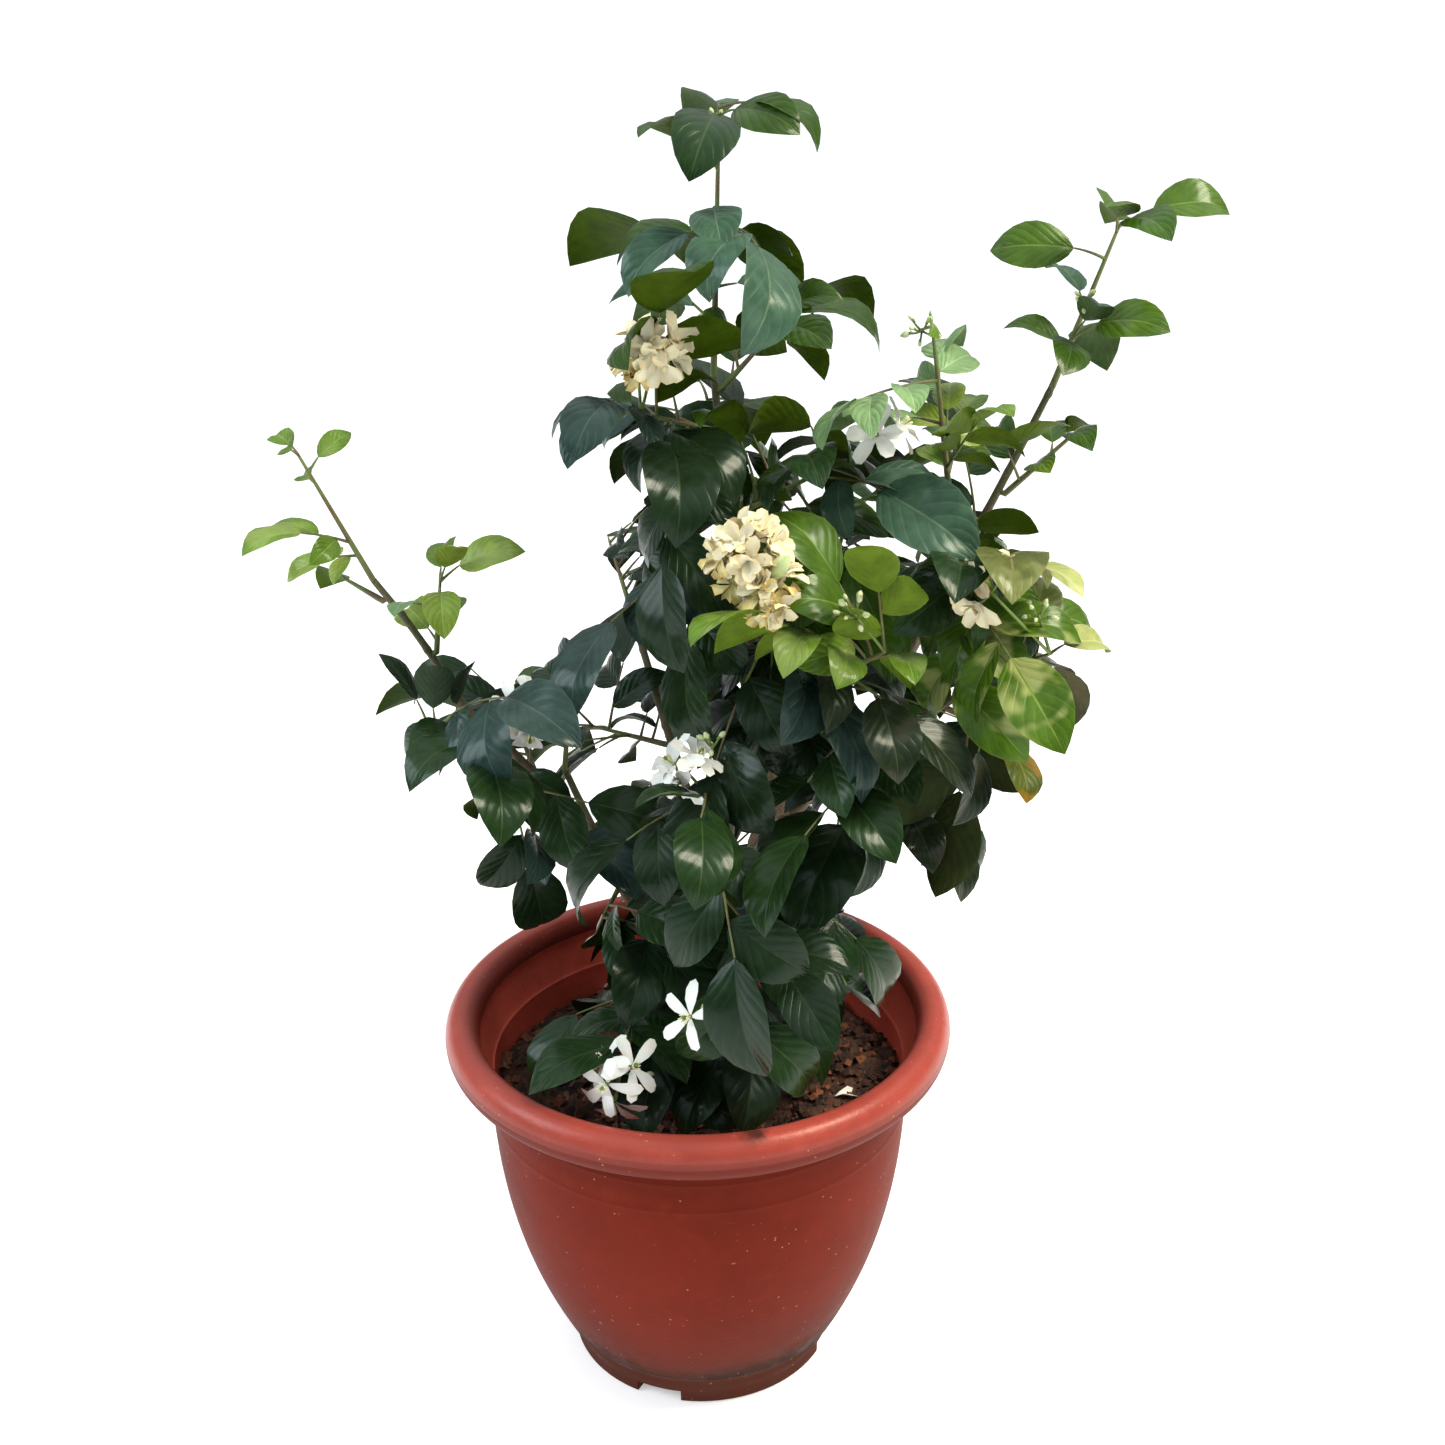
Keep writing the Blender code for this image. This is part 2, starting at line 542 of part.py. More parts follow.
def tube_shape(path, radii, sides=TWIG_SIDES):
    """Points and faces of a tapering tube with closed ends, its section carried along without twist."""
    shares = np.linspace(0.0, 1.0, len(path))
    tangents = np.gradient(path, axis=0)
    side = across(unit(tangents[0]))[0]
    points = []
    for point, tangent, share in zip(path, tangents, shares):
        along = unit(tangent)
        side = unit(side - along * np.dot(side, along))
        top = np.cross(along, side)
        radius = radii[0] + (radii[1] - radii[0]) * share
        for k in range(sides):
            a = 2 * math.pi * k / sides
            points.append(point + radius * (side * math.cos(a) + top * math.sin(a)))
    faces = [tuple(reversed(range(sides)))]
    for ring in range(len(path) - 1):
        for k in range(sides):
            a, b = ring * sides + k, ring * sides + (k + 1) % sides
            faces.append((a, b, b + sides, a + sides))
    faces.append(tuple(range(len(points) - sides, len(points))))
    return points, faces


def leaf_shape(leaf):
    """Points and faces of a leaflet: a thin lens of two faceted skins that meet along its edge."""
    leaf = leaf._replace(base=leaf.base - leaf.along * LEAF_SINK)
    edge = [(0.0, 0.0)] + list(LEAF_EDGE) + [(1.0, 0.0)] + [(u, -v) for u, v in reversed(LEAF_EDGE)]
    points = [leaf_point(leaf, u, v) for u, v in edge]
    top = len(points)
    points += [leaf_point(leaf, LEAF_RIB, 0.0, lift) for lift in (LEAF_THICK / 2, -LEAF_THICK / 2)]
    upper = [(k, (k + 1) % top, top) for k in range(top)]
    lower = [((k + 1) % top, k, top + 1) for k in range(top)]
    return points, upper + lower


def flower_shape(centre, normal):
    """Points and faces of a blossom: a star with one arm for each petal, thickest in the middle."""
    side, top = across(normal)
    points = []
    for k in range(2 * PETALS):
        a = math.pi * k / PETALS
        radius = PETAL_REACH if k % 2 == 0 else PETAL_WAIST
        rise = PETAL_RISE if k % 2 == 0 else 0.0
        points.append(centre + radius * (side * math.cos(a) + top * math.sin(a)) + normal * rise)
    points += [centre + normal * FLOWER_THICK / 2, centre - normal * FLOWER_THICK / 2]
    faces = []
    for k in range(2 * PETALS):
        after = (k + 1) % (2 * PETALS)
        faces += [(k, after, 2 * PETALS), (after, k, 2 * PETALS + 1)]
    return points, faces


def blossom_shapes(mass, stem):
    """A stalk from the mass's stem to its blossom, and then each flower there with its own short stalk."""
    centre = np.array(mass["blossom"])
    near = min(np.linspace(0.05, 1.0, 20), key=lambda s: np.linalg.norm(along_path(stem, s)[0] - centre))
    root = along_path(stem, near)[0]
    way = unit(centre - root)
    shapes = [tube_shape(np.array((root, (root + centre) / 2, centre)), TWIG_RADII)]
    facing = unit(way + np.array((0.0, -0.8, 0.5)))
    side, top = across(facing)
    for k in range(mass["flowers"]):
        a = 2 * math.pi * (0.25 + k / mass["flowers"])
        out = (side * math.cos(a) + top * math.sin(a)) * FLOWER_SPREAD
        end = centre + out + facing * FLOWER_REACH
        normal = unit(facing + out * 40)
        stalk = np.array((centre - way * FLOWER_ROOT, (centre + end) / 2, end))
        shapes.append(tube_shape(stalk, FLOWER_STALK))
        shapes.append(flower_shape(end, normal))
    return shapes


Solid = namedtuple("Solid", "owner tree points low high")


def solid_of(owner, points, faces):
    points = [Vector(p) for p in points]
    tree = BVHTree.FromPolygons(points, faces)
    tested = points + [sum((points[i] for i in face), Vector()) / len(face) for face in faces]
    array = np.array([tuple(p) for p in points])
    return Solid(owner, tree, tested, array.min(axis=0) - GAP, array.max(axis=0) + GAP)


def is_clear(solid, others):
    """Whether a solid stays a gap clear of every solid of the other nodes."""
    for other in others:
        if other.owner == solid.owner or (solid.low > other.high).any() or (other.low > solid.high).any():
            continue
        if solid.tree.overlap(other.tree):
            return False
        if any(other.tree.find_nearest(p, TOUCH)[0] is not None for p in solid.points):
            return False
        if any(solid.tree.find_nearest(p, TOUCH)[0] is not None for p in other.points):
            return False
    return True


def leaf_middle(leaf):
    return leaf_point(leaf, 0.5, 0.0)


def mass_shapes(name, mass, stem, placed):
    """The stem, twigs, leaflets and blossom of a mass that keep clear of the rest, as points and faces."""
    shapes = [tube_shape(stem, STEM_RADII)]
    own = []
    if "blossom" in mass:
        blossom = blossom_shapes(mass, stem)
        solids = [solid_of(name, *shape) for shape in blossom]
        for k in [0] + list(range(2, len(blossom), 2)):
            with_stalk = solids[max(k - 1, 0):k + 1]
            if all(is_clear(solid, placed) for solid in solids[:1] + with_stalk):
                shapes += blossom[max(k - 1, 1):k + 1] if k else blossom[:1]
                own += with_stalk
    middles = []
    for i, seed in enumerate(mass["seeds"]):
        if seed == 0:
            continue
        twig, leaves = grow_spray(mass, stem, i, seed)
        shape = tube_shape(twig, TWIG_RADII)
        solid = solid_of(name, *shape)
        if not is_clear(solid, placed):
            print(name, "loses compound leaf", i)
            continue
        shapes.append(shape)
        own.append(solid)
        for leaf in leaves:
            shape = leaf_shape(leaf)
            solid = solid_of(name, *shape)
            crowded = any(np.linalg.norm(leaf_middle(leaf) - m) < LEAF_CROWD for m in middles)
            if crowded or not is_clear(solid, placed):
                continue
            middles.append(leaf_middle(leaf))
            shapes.append(shape)
            own.append(solid)
    placed += own
    return shapes


def keep_main_body(mesh):
    """Leaves only the largest closed shell: sealed hollows are filled and loose scraps dropped."""
    work = bmesh.new()
    work.from_mesh(mesh)
    left = set(work.faces)
    shells = []
    while left:
        shell, edge = [], [left.pop()]
        while edge:
            face = edge.pop()
            shell.append(face)
            for side in face.edges:
                for other in side.link_faces:
                    if other in left and len(side.link_faces) == 2:
                        left.remove(other)
                        edge.append(other)
        shells.append(shell)
    shells.sort(key=len)
    bmesh.ops.delete(work, geom=[face for shell in shells[:-1] for face in shell], context="FACES")
    bmesh.ops.triangulate(work, faces=work.faces)
    work.to_mesh(mesh)
    work.free()
    return len(shells) - 1


def is_closed(mesh):
    """Whether every edge has two faces once points closer than the weld distance are one."""
    places = [tuple(round(c / WELD) for c in v.co) for v in mesh.vertices]
    counts = {}
    for face in mesh.polygons:
        corners = [places[i] for i in face.vertices]
        if len(set(corners)) < 3:
            continue
        for a, b in zip(corners, corners[1:] + corners[:1]):
            counts[frozenset((a, b))] = counts.get(frozenset((a, b)), 0) + 1
    return bool(counts) and all(count == 2 for count in counts.values())


def joined_mesh(name, shapes, solver):
    """One Boolean union of the first shape with the collection of the others, applied to a new mesh."""
    pieces = new_collection(name + "_pieces")
    base = mesh_object(name + "_base", *shapes[0], pieces)
    pieces.objects.unlink(base)
    bpy.context.scene.collection.objects.link(base)
    for k, shape in enumerate(shapes[1:]):
        mesh_object(f"{name}_piece_{k}", *shape, pieces)
    join = base.modifiers.new("join", "BOOLEAN")
    join.operation = "UNION"
    join.operand_type = "COLLECTION"
    join.collection = pieces
    join.solver = solver
    bpy.context.view_layer.update()
    mesh = bpy.data.meshes.new_from_object(base.evaluated_get(bpy.context.evaluated_depsgraph_get()))
    for piece in list(pieces.objects) + [base]:
        bpy.data.objects.remove(piece, do_unlink=True)
    bpy.data.collections.remove(pieces)
    return mesh


def build_mass(name, shapes, parts, finish):
    """A mass as one solid. If neither solver closes it, it is joined again without its last leaflet."""
    mesh = None
    while mesh is None:
        for solver in ("MANIFOLD", "EXACT"):
            tried = joined_mesh(name, shapes, solver)
            dropped = keep_main_body(tried)
            if is_closed(tried):
                mesh = tried
                break
        else:
            shapes = shapes[:-1]
    mesh.name = name
    mesh.materials.clear()
    mesh.materials.append(finish)
    obj = bpy.data.objects.new(name, mesh)
    parts.objects.link(obj)
    print(f"{name}: {len(shapes)} shapes, {len(mesh.polygons)} faces, {dropped} shells dropped, {solver}")
    return obj


def main():
    clear_scene()
    parts = new_collection("orange_jasmine_shrub")
    cutters = new_collection("cutters")
    plastic = finish_of("terracotta_plastic", (0.24, 0.050, 0.028), 0.42)
    earth = finish_of("moist_soil", (0.045, 0.026, 0.018), 0.95)
    bark = finish_of("brown_bark", (0.16, 0.105, 0.065), 0.80)
    green = finish_of("glossy_leaf", (0.035, 0.085, 0.022), 0.32)
    placed = []
    for obj in (build_pot(parts, cutters, plastic), build_soil(parts, earth)):
        bpy.context.view_layer.update()
        mesh = obj.evaluated_get(bpy.context.evaluated_depsgraph_get()).to_mesh()
        placed.append(solid_of(obj.name, [v.co.copy() for v in mesh.vertices],
                               [tuple(p.vertices) for p in mesh.polygons]))
    paths = limb_paths()
    for name in LIMBS:
        limb = build_limb(name, paths[name], parts, bark)
        placed.append(solid_of(name, [v.co for v in limb.data.vertices],
                               [tuple(p.vertices) for p in limb.data.polygons]))
    stems = {name: mass_stem(mass, paths) for name, mass in MASSES.items()}
    for name, stem in stems.items():
        solid = solid_of(name, *tube_shape(stem, STEM_RADII))
        touched = [other.owner for other in placed if not is_clear(solid, [other])]
        if touched:
            print(name, "has a stem that touches", *touched)
        placed.append(solid)
    for name, mass in MASSES.items():
        build_mass(name, mass_shapes(name, mass, stems[name], placed), parts, green)


main()
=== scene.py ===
# Orange jasmine shrub in its round plastic pot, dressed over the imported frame.
# Metres, +Z up, origin in the middle of the pot's underside, seen from -Y in the usual view.
import json
import math
import random
from collections import namedtuple

import bpy
import numpy as np
from mathutils import Matrix, Vector
from mathutils.bvhtree import BVHTree

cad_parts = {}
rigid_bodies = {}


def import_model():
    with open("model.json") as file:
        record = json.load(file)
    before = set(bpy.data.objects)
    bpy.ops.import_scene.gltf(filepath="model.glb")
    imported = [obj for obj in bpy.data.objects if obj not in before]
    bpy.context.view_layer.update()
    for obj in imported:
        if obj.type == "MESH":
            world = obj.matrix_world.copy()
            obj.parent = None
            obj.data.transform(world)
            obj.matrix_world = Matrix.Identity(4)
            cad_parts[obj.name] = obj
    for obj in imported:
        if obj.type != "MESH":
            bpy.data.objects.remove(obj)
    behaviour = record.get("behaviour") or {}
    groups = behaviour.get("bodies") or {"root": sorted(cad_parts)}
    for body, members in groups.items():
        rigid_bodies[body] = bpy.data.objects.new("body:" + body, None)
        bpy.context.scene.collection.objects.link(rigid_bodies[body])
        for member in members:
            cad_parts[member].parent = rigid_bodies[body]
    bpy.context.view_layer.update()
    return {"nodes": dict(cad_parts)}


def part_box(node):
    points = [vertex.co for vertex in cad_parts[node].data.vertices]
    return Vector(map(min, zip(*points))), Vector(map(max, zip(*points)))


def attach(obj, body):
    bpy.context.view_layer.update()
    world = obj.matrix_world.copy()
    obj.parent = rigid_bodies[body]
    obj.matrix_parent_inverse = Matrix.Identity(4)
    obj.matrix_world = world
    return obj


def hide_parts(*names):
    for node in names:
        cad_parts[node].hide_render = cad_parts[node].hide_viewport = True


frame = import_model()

upward = np.array((0.0, 0.0, 1.0))
circle = 2 * math.pi
leastBend = 0.5        # degrees, so that a straight arc is one too


# Puts arrays of points and rows of corner numbers into a mesh object at the origin. slots are the finishes of
# the faces, and edges sharper than sharp degrees aren't smoothed.
def putMesh(name, points, faces, finishes, slots=None, uv=None, age=None, sharp=None):
    mesh = bpy.data.meshes.new(name)
    mesh.from_pydata(np.asarray(points, float).tolist(), [], [row for part in faces for row in part.tolist()])
    for finish in finishes:
        mesh.materials.append(finish)
    if slots is not None:
        mesh.polygons.foreach_set("material_index", np.concatenate(slots).astype(np.int32))
    if uv is not None:
        corner = np.empty(len(mesh.loops), np.int32)
        mesh.loops.foreach_get("vertex_index", corner)
        mesh.uv_layers.new(name="UVMap").data.foreach_set("uv", np.asarray(uv, np.float32)[corner].ravel())
    if age is not None:
        mesh.attributes.new("age", "FLOAT", "POINT").data.foreach_set("value", np.asarray(age, np.float32))
    mesh.shade_smooth()
    if sharp is not None:
        mesh.set_sharp_from_angle(angle=math.radians(sharp))
    mesh.update()
    piece = bpy.data.objects.new(name, mesh)
    bpy.context.scene.collection.objects.link(piece)
    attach(piece, "root")
    return piece


# Rows of face corners, from an array of point numbers for each corner.
def facesOf(*corners):
    return np.stack(np.broadcast_arrays(*corners), -1).reshape(-1, len(corners))


# Gathers surfaces one after another: points, faces by number of corners, slots of the faces, uv and age.
class Heap:
    def __init__(self):
        self.points, self.faces, self.slots, self.uv, self.age, self.count = [], [], [], [], [], 0

    def add(self, points, faces, slot, uv, age=None):
        points = np.asarray(points, float).reshape(-1, 3)
        for part in faces:
            self.faces.append(np.asarray(part) + self.count)
            self.slots.append(np.full(len(part), slot))
        self.points.append(points)
        self.uv.append(np.asarray(uv, float).reshape(-1, 2))
        self.age.append(np.zeros(len(points)) if age is None else age)
        self.count += len(points)

    def put(self, name, finishes, sharp=None):
        return putMesh(name, np.concatenate(self.points), self.faces, finishes, self.slots,
                       np.concatenate(self.uv), np.concatenate(self.age), sharp)


# A number worked out by nodes. Such numbers are added, taken away and multiplied like plain ones.
class Number:
    def __init__(self, graph, socket):
        self.graph, self.socket = graph, socket

    # the outcome of a mathematical operation on this number and another
    def reckon(self, operation, other=0.0):
        return self.graph.number(0, "ShaderNodeMath", {0: self, 1: other}, operation=operation)

    def __add__(self, other):
        return self.reckon("ADD", other)

    def __sub__(self, other):
        return self.reckon("SUBTRACT", other)

    def __mul__(self, other):
        return self.reckon("MULTIPLY", other)

    # 0 up to start, 1 from end on, smooth between
    def step(self, start, end):
        inputs = {"Value": self, "From Min": start, "From Max": end}
        return self.graph.number(0, "ShaderNodeMapRange", inputs, interpolation_type="SMOOTHSTEP")


# The nodes of a world or a material.
class Graph:
    def __init__(self, made):
        self.made = made
        made.use_nodes = True
        self.nodes, self.links = made.node_tree.nodes, made.node_tree.links

    # links what nodes give and sets plain values
    def fill(self, node, inputs):
        for key, value in inputs.items():
            value = getattr(value, "socket", value)
            if isinstance(value, bpy.types.NodeSocket):
                self.links.new(value, node.inputs[key])
            else:
                node.inputs[key].default_value = value

    # a new node, with its settings and inputs
    def add(self, kind, inputs=None, **settings):
        node = self.nodes.new(kind)
        for key, value in settings.items():
            setattr(node, key, value)
        self.fill(node, inputs or {})
        return node

    # the number that a new node gives at one of its outputs
    def number(self, output, kind, inputs=None, **settings):
        return Number(self, self.add(kind, inputs, **settings).outputs[output])

    # the three numbers of a place
    def split(self, place):
        outputs = self.add("ShaderNodeSeparateXYZ", {0: place}).outputs
        return [Number(self, output) for output in outputs]


# A material: a principled shader whose other sockets are named in more, with _ for a space.
class Finish(Graph):
    def __init__(self, name, colour, roughness, **more):
        super().__init__(bpy.data.materials.new(name))
        self.shader = self.nodes["Principled BSDF"]
        self.fill(self.shader, {"Base Color": (*colour, 1.0), "Roughness": roughness})
        self.fill(self.shader, {socket.replace("_", " "): value for socket, value in more.items()})
        self.made.diffuse_color = (*colour, 1.0)

    # a place on the piece in metres, or on its uv, scaled
    def place(self, scale=(1, 1, 1), source="Object"):
        where = self.add("ShaderNodeTexCoord").outputs[source]
        return self.add("ShaderNodeMapping", {"Vector": where, "Scale": scale}).outputs[0]

    # cloudy values between 0 and 1, finer with scale
    def noise(self, place, scale, detail, rough=0.55):
        return self.number("Fac", "ShaderNodeTexNoise",
                           {"Vector": place, "Scale": scale, "Detail": detail, "Roughness": rough})

    # first where share is 0, second where it is 1
    def mix(self, share, first, second):
        first, second = ((*c, 1.0) if isinstance(c, tuple) else c for c in (first, second))
        return self.add("ShaderNodeMix", {0: share, 6: first, 7: second}, data_type="RGBA").outputs[2]

    # the surface tilted as if it rose by the height times the distance
    def bump(self, height, distance, strength):
        inputs = {"Height": height, "Distance": distance, "Strength": strength}
        return self.add("ShaderNodeBump", inputs).outputs[0]

    # hands what was worked out to the shader
    def wire(self, colour, normal, roughness=None):
        self.fill(self.shader, {"Base Color": colour, "Normal": normal})
        if roughness is not None:
            self.fill(self.shader, {"Roughness": roughness})
        return self.made


# The growth rule of the source, written again, in metres. What is drawn lies between two values, in degrees
# or as a share of the leaf's length.
growth = dict(gap=0.0003, limbSides=36, stemSides=3, stemRadius=0.0019, leafSink=0.0006,
              edge=((0.0, 0.28, 0.68, 1.0, 0.68, 0.28), (0.0, 0.84, 0.94, 0.0, -0.94, -0.84)), tipFrom=0.96,
              sag=0.12, twigBend=0.5, smallest=0.70, fineLeaf=0.9, fineFirst=0.12, finePlaces=6,
              fineReach=0.010, foot=(-0.020, 0.006), soil=0.1800, lump=0.0022, level=0.022, match=5e-5,
              inside=0.995)
drawn = dict(turn=(0, 360), lean=(40, 85), tipLean=(5, 75), size=(0.85, 1.14), droop=(0.5, 1.4),
             roll=(-40, 40), petiole=(0.16, 0.34), step=(0.24, 0.34), spread=(42, 68), endSpread=(-12, 12),
             tilt=(-25, 25), length=(0.90, 1.08), width=(0.46, 0.58), bend=(0.7, 1.3), fold=(4, 20))

Limb = namedtuple("Limb", "parent share azimuth rise length lift sweep base tip points")
Mass = namedtuple("Mass", "bough share azimuth rise length leaf mix seeds fine first droop leaflets places "
                          "lost tints", defaults=((), 0.35, 32, (1, 3, 3, 5), None, {}, {}))
Leaf = namedtuple("Leaf", "base along normal length width droop fold")
Spray = namedtuple("Spray", "name place seed twig leaves")

# A limb leaves its parent at a share of it, under an azimuth and a rise that change by sweep and lift.
limbs = {
    "trunk": Limb(None, 0.0, 340, 70, 0.191, -4, 32, 0.0080, 0.0052, 10),
    "leader_bough": Limb("trunk", 1.0, 156, 76, 0.236, 9, 28, 0.0044, 0.0020, 9),
    "left_bough": Limb("trunk", 0.30, 171, 68, 0.211, -24, 5, 0.0042, 0.0024, 8),
    "left_tip_bough": Limb("left_bough", 1.0, 172, 64, 0.087, -11, 5, 0.0023, 0.0018, 4),
    "left_rising_bough": Limb("left_bough", 0.46, 198, 68, 0.058, 1, 15, 0.0025, 0.0019, 4),
    "right_bough": Limb("trunk", 0.93, 15, 41, 0.096, 15, 5, 0.0042, 0.0032, 5),
    "right_tall_bough": Limb("right_bough", 1.0, 26, 58, 0.188, 8, -27, 0.0030, 0.0018, 7),
    "shoot_bough": Limb("right_bough", 0.84, 357, 60, 0.125, 22, -56, 0.0025, 0.0018, 5),
    "right_front_bough": Limb("right_bough", 0.60, 320, 30, 0.098, 13, 10, 0.0028, 0.0019, 5),
    "front_bough": Limb("trunk", 0.43, 309, 64, 0.140, 8, -49, 0.0032, 0.0020, 6),
    "front_right_bough": Limb("leader_bough", 0.16, 292, 35, 0.088, 8, 20, 0.0026, 0.0018, 5),
    "back_left_bough": Limb("trunk", 0.62, 119, 51, 0.174, 6, 0, 0.0034, 0.0020, 7),
    "back_right_bough": Limb("trunk", 0.81, 65, 49, 0.166, -1, -3, 0.0034, 0.0020, 7),
}

